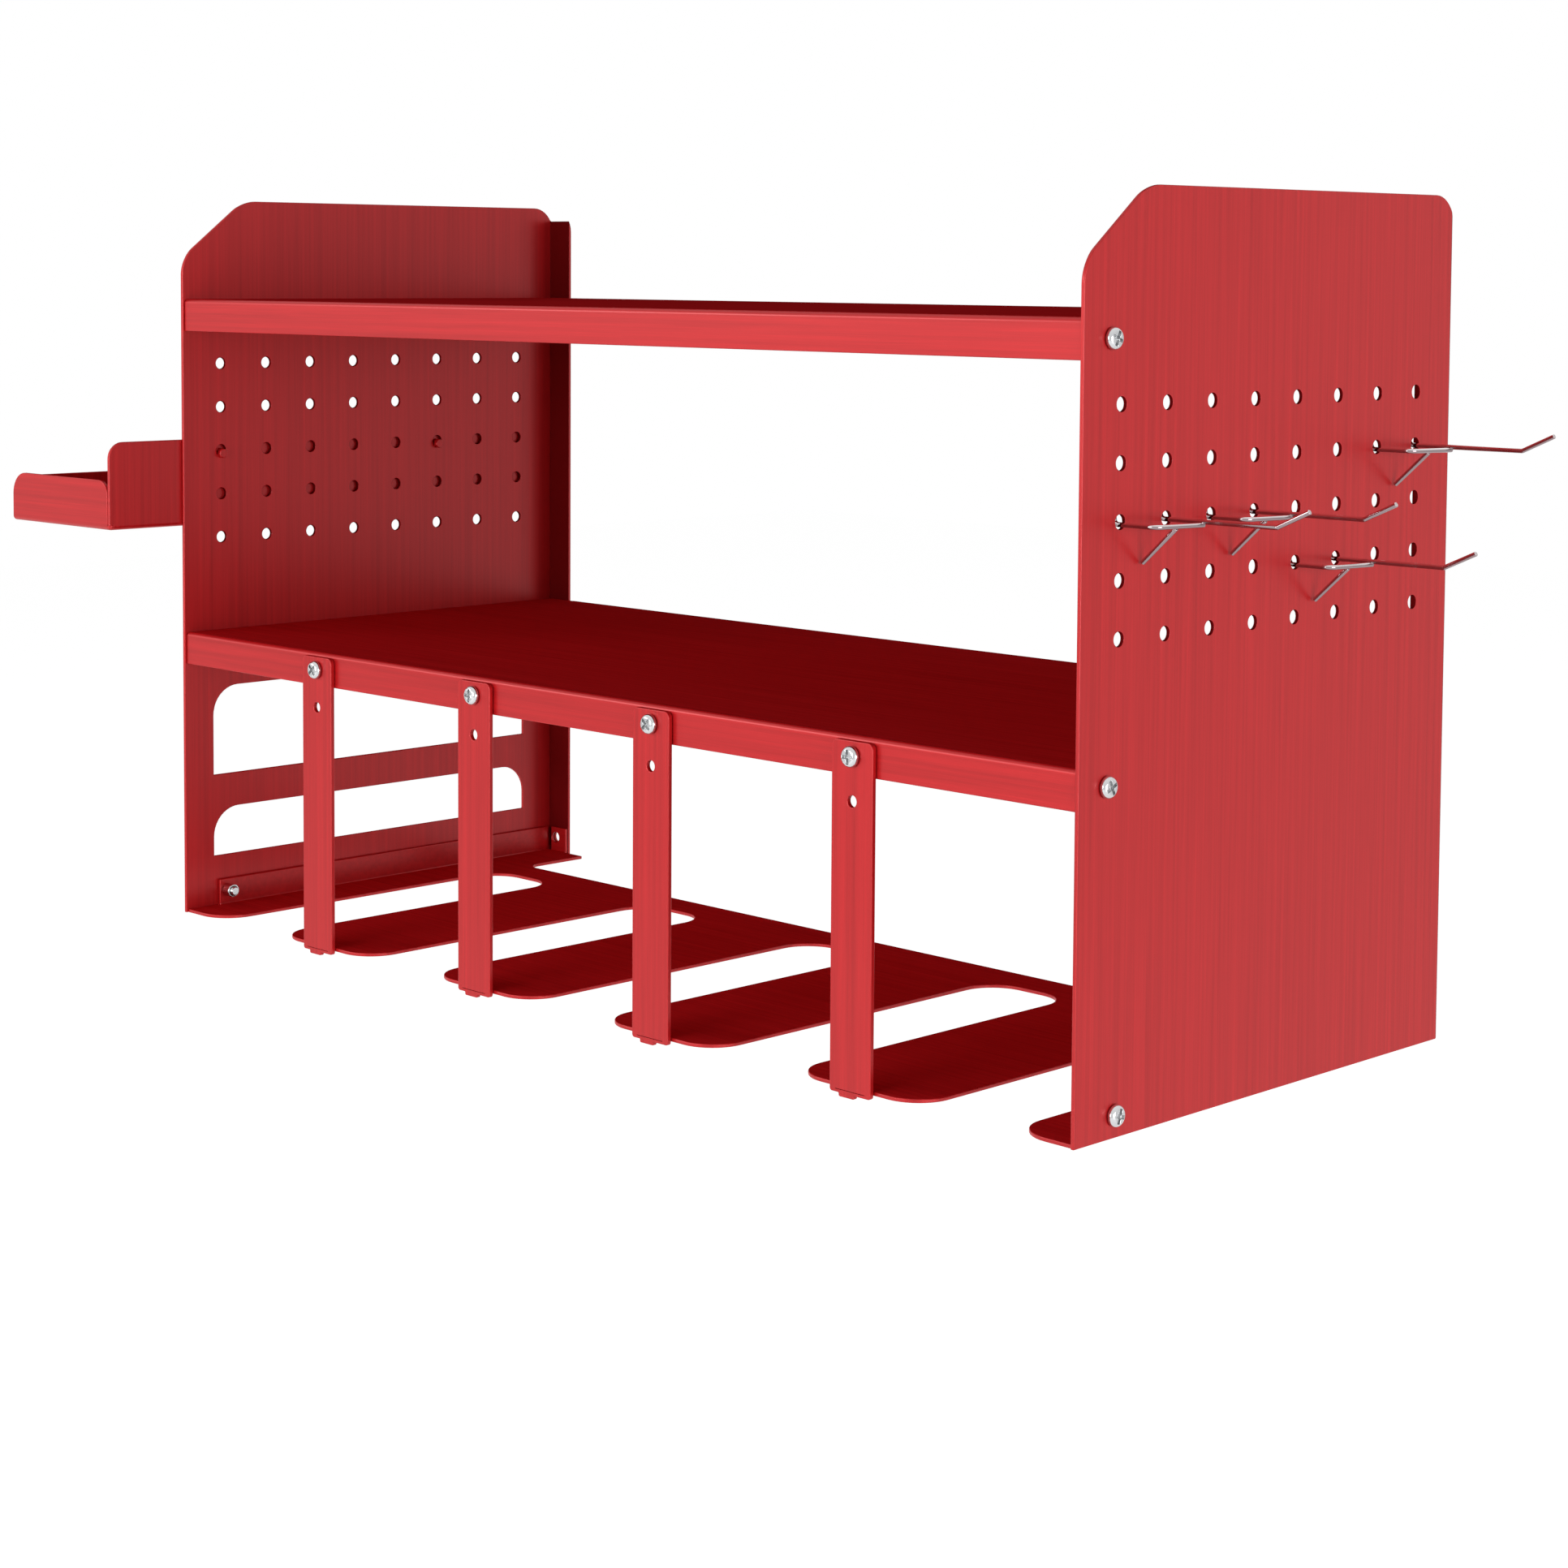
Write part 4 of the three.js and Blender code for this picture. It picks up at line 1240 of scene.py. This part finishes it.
def clinch_nut():
    """A plain sleeve at the origin with its pressed end up at z = 0."""
    nut = rod(-Z * NUT_LENGTH / 2, Z, NUT_RADIUS, NUT_LENGTH, HEAD_SIDES, "NOTHING")
    thicken(nut, NUT_RADIUS - NUT_BORE)
    soften(nut, NUT_SOFTNESS, SMALL_STEPS)
    return nut


# %% Drive the screws
GOLDEN_TURN = 2.4


def outward_of(place):
    """Screws in the sides look outwards, and those in the straps look forward."""
    if abs(place.x) > SHEET_HALF - 2 * OVERRUN:
        return X * math.copysign(1, place.x)
    return -Y


screw_model, nut_model = pan_screw(), clinch_nut()
coat(screw_model, zinc)
coat(nut_model, zinc)
fixings = [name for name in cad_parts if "_screw_" in name or "_nut_" in name]
for number, name in enumerate(fixings):
    low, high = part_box(name)
    middle = (low + high) / 2
    outward = outward_of(middle)
    seat = middle + outward * abs((high - middle).dot(outward))
    turn = outward.to_track_quat("Z", "Y") @ Quaternion(Z, number * GOLDEN_TURN)
    if "_screw_" in name:
        twin = copy_of(screw_model, name + "_turned", seat - outward * HEAD_HEIGHT, turn)
    else:
        twin = copy_of(nut_model, name + "_pressed", seat, turn)
    hand_over(twin, name)
for model in (screw_model, nut_model):
    bpy.data.objects.remove(model)

# %% [markdown]
# ## The wire hooks
# Each hook is three wires welded together: an arm with a raised tip, a link that comes out of
# the next peg hole and turns across under the arm, and a short brace from there to the panel.
# Rods could be set end to end, but a bent wire has no joints. So it is drawn as a chain of
# edges, its corners are rounded, and a curve's bevel gives it its thickness. The curve's end
# caps are loose, so they are merged before the wires are joined.

# %% Measure the hooks
WIRE_RADIUS = 0.9 * MM
WIRE_STEPS = 4
WIRE_SOFTNESS = 0.15 * MM
WIRE_BEND = 2 * MM
LINK_BEND = 3.5 * MM
WELD_GAP = 0.01 * MM
PRONG_X = -2.65 * MM
PRONG_TOP = 8.5 * MM
ARM_Z = -0.3 * MM
LINK_Z = -0.9 * MM
MEET_Z = -1.4 * MM
LINK_REACH = 15.9 * MM
LINK_PAST = 0.3 * MM
ARM_REACH = 46.8 * MM
TIP = (60.1 * MM, 0, 5.7 * MM)
BRACE_Y = -14.4 * MM
BRACE_FOOT = (1.15 * MM, BRACE_Y, -14.6 * MM)
BRACE_TOP = (LINK_REACH - 0.4 * MM, BRACE_Y, LINK_Z - WIRE_RADIUS)
ARM = ((PRONG_X, 0, PRONG_TOP), (PRONG_X, 0, ARM_Z), (ARM_REACH, 0, ARM_Z), TIP)
LINK = ((PRONG_X, -COLUMN_PITCH, PRONG_TOP), (PRONG_X, -COLUMN_PITCH, LINK_Z),
        (LINK_REACH, -COLUMN_PITCH, LINK_Z), (LINK_REACH, LINK_PAST, MEET_Z))
print("hooks reach", round(TIP[0] / MM, 1), "mm out of the panel")


# %% Bend the hooks
def wire(corners, radii=()):
    corners = [Vector(corner) for corner in corners]
    bpy.ops.mesh.primitive_plane_add(size=MM, location=corners[0])
    line = settle(named("wire"))
    with editing(line):
        bpy.ops.mesh.select_mode(type="VERT")
        pick_all()
        bpy.ops.mesh.merge(type="CENTER")
        for here, onward in zip(corners, corners[1:]):
            draw_out(onward - here)
        for i, radius in enumerate(radii, 1):
            turn = (corners[i] - corners[i - 1]).angle(corners[i + 1] - corners[i])
            round_corners(lambda p: near((p - corners[i]).length, 0), radius, turn)
    activate(line)
    bpy.ops.object.convert(target="CURVE")
    curve = bpy.context.active_object
    curve.data.bevel_depth = WIRE_RADIUS
    curve.data.bevel_resolution = WIRE_STEPS
    curve.data.use_fill_caps = True
    bpy.ops.object.convert(target="MESH")
    rounded = bpy.context.active_object
    with editing(rounded):
        pick_all()
        bpy.ops.mesh.remove_doubles(threshold=WELD_GAP)
        bpy.ops.mesh.normals_make_consistent(inside=False)
    return rounded


def wire_hook():
    hook = wire(ARM, (WIRE_BEND, WIRE_BEND))
    carve(hook, [wire(LINK, (WIRE_BEND, LINK_BEND)), wire((BRACE_FOOT, BRACE_TOP))], "UNION")
    soften(hook, WIRE_SOFTNESS, SMALL_STEPS)
    coat(hook, chrome)
    return hook


hook_model = wire_hook()
for number in (1, 2, 3, 4):
    low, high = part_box(f"peg_hook_{number}")
    hole = Vector((OUTER, high.y - WIRE_RADIUS, high.z - PRONG_TOP))
    hook = copy_of(hook_model, f"wire_hook_{number}", hole)
    hand_over(hook, f"peg_hook_{number}", f"hook_{number}")
bpy.data.objects.remove(hook_model)
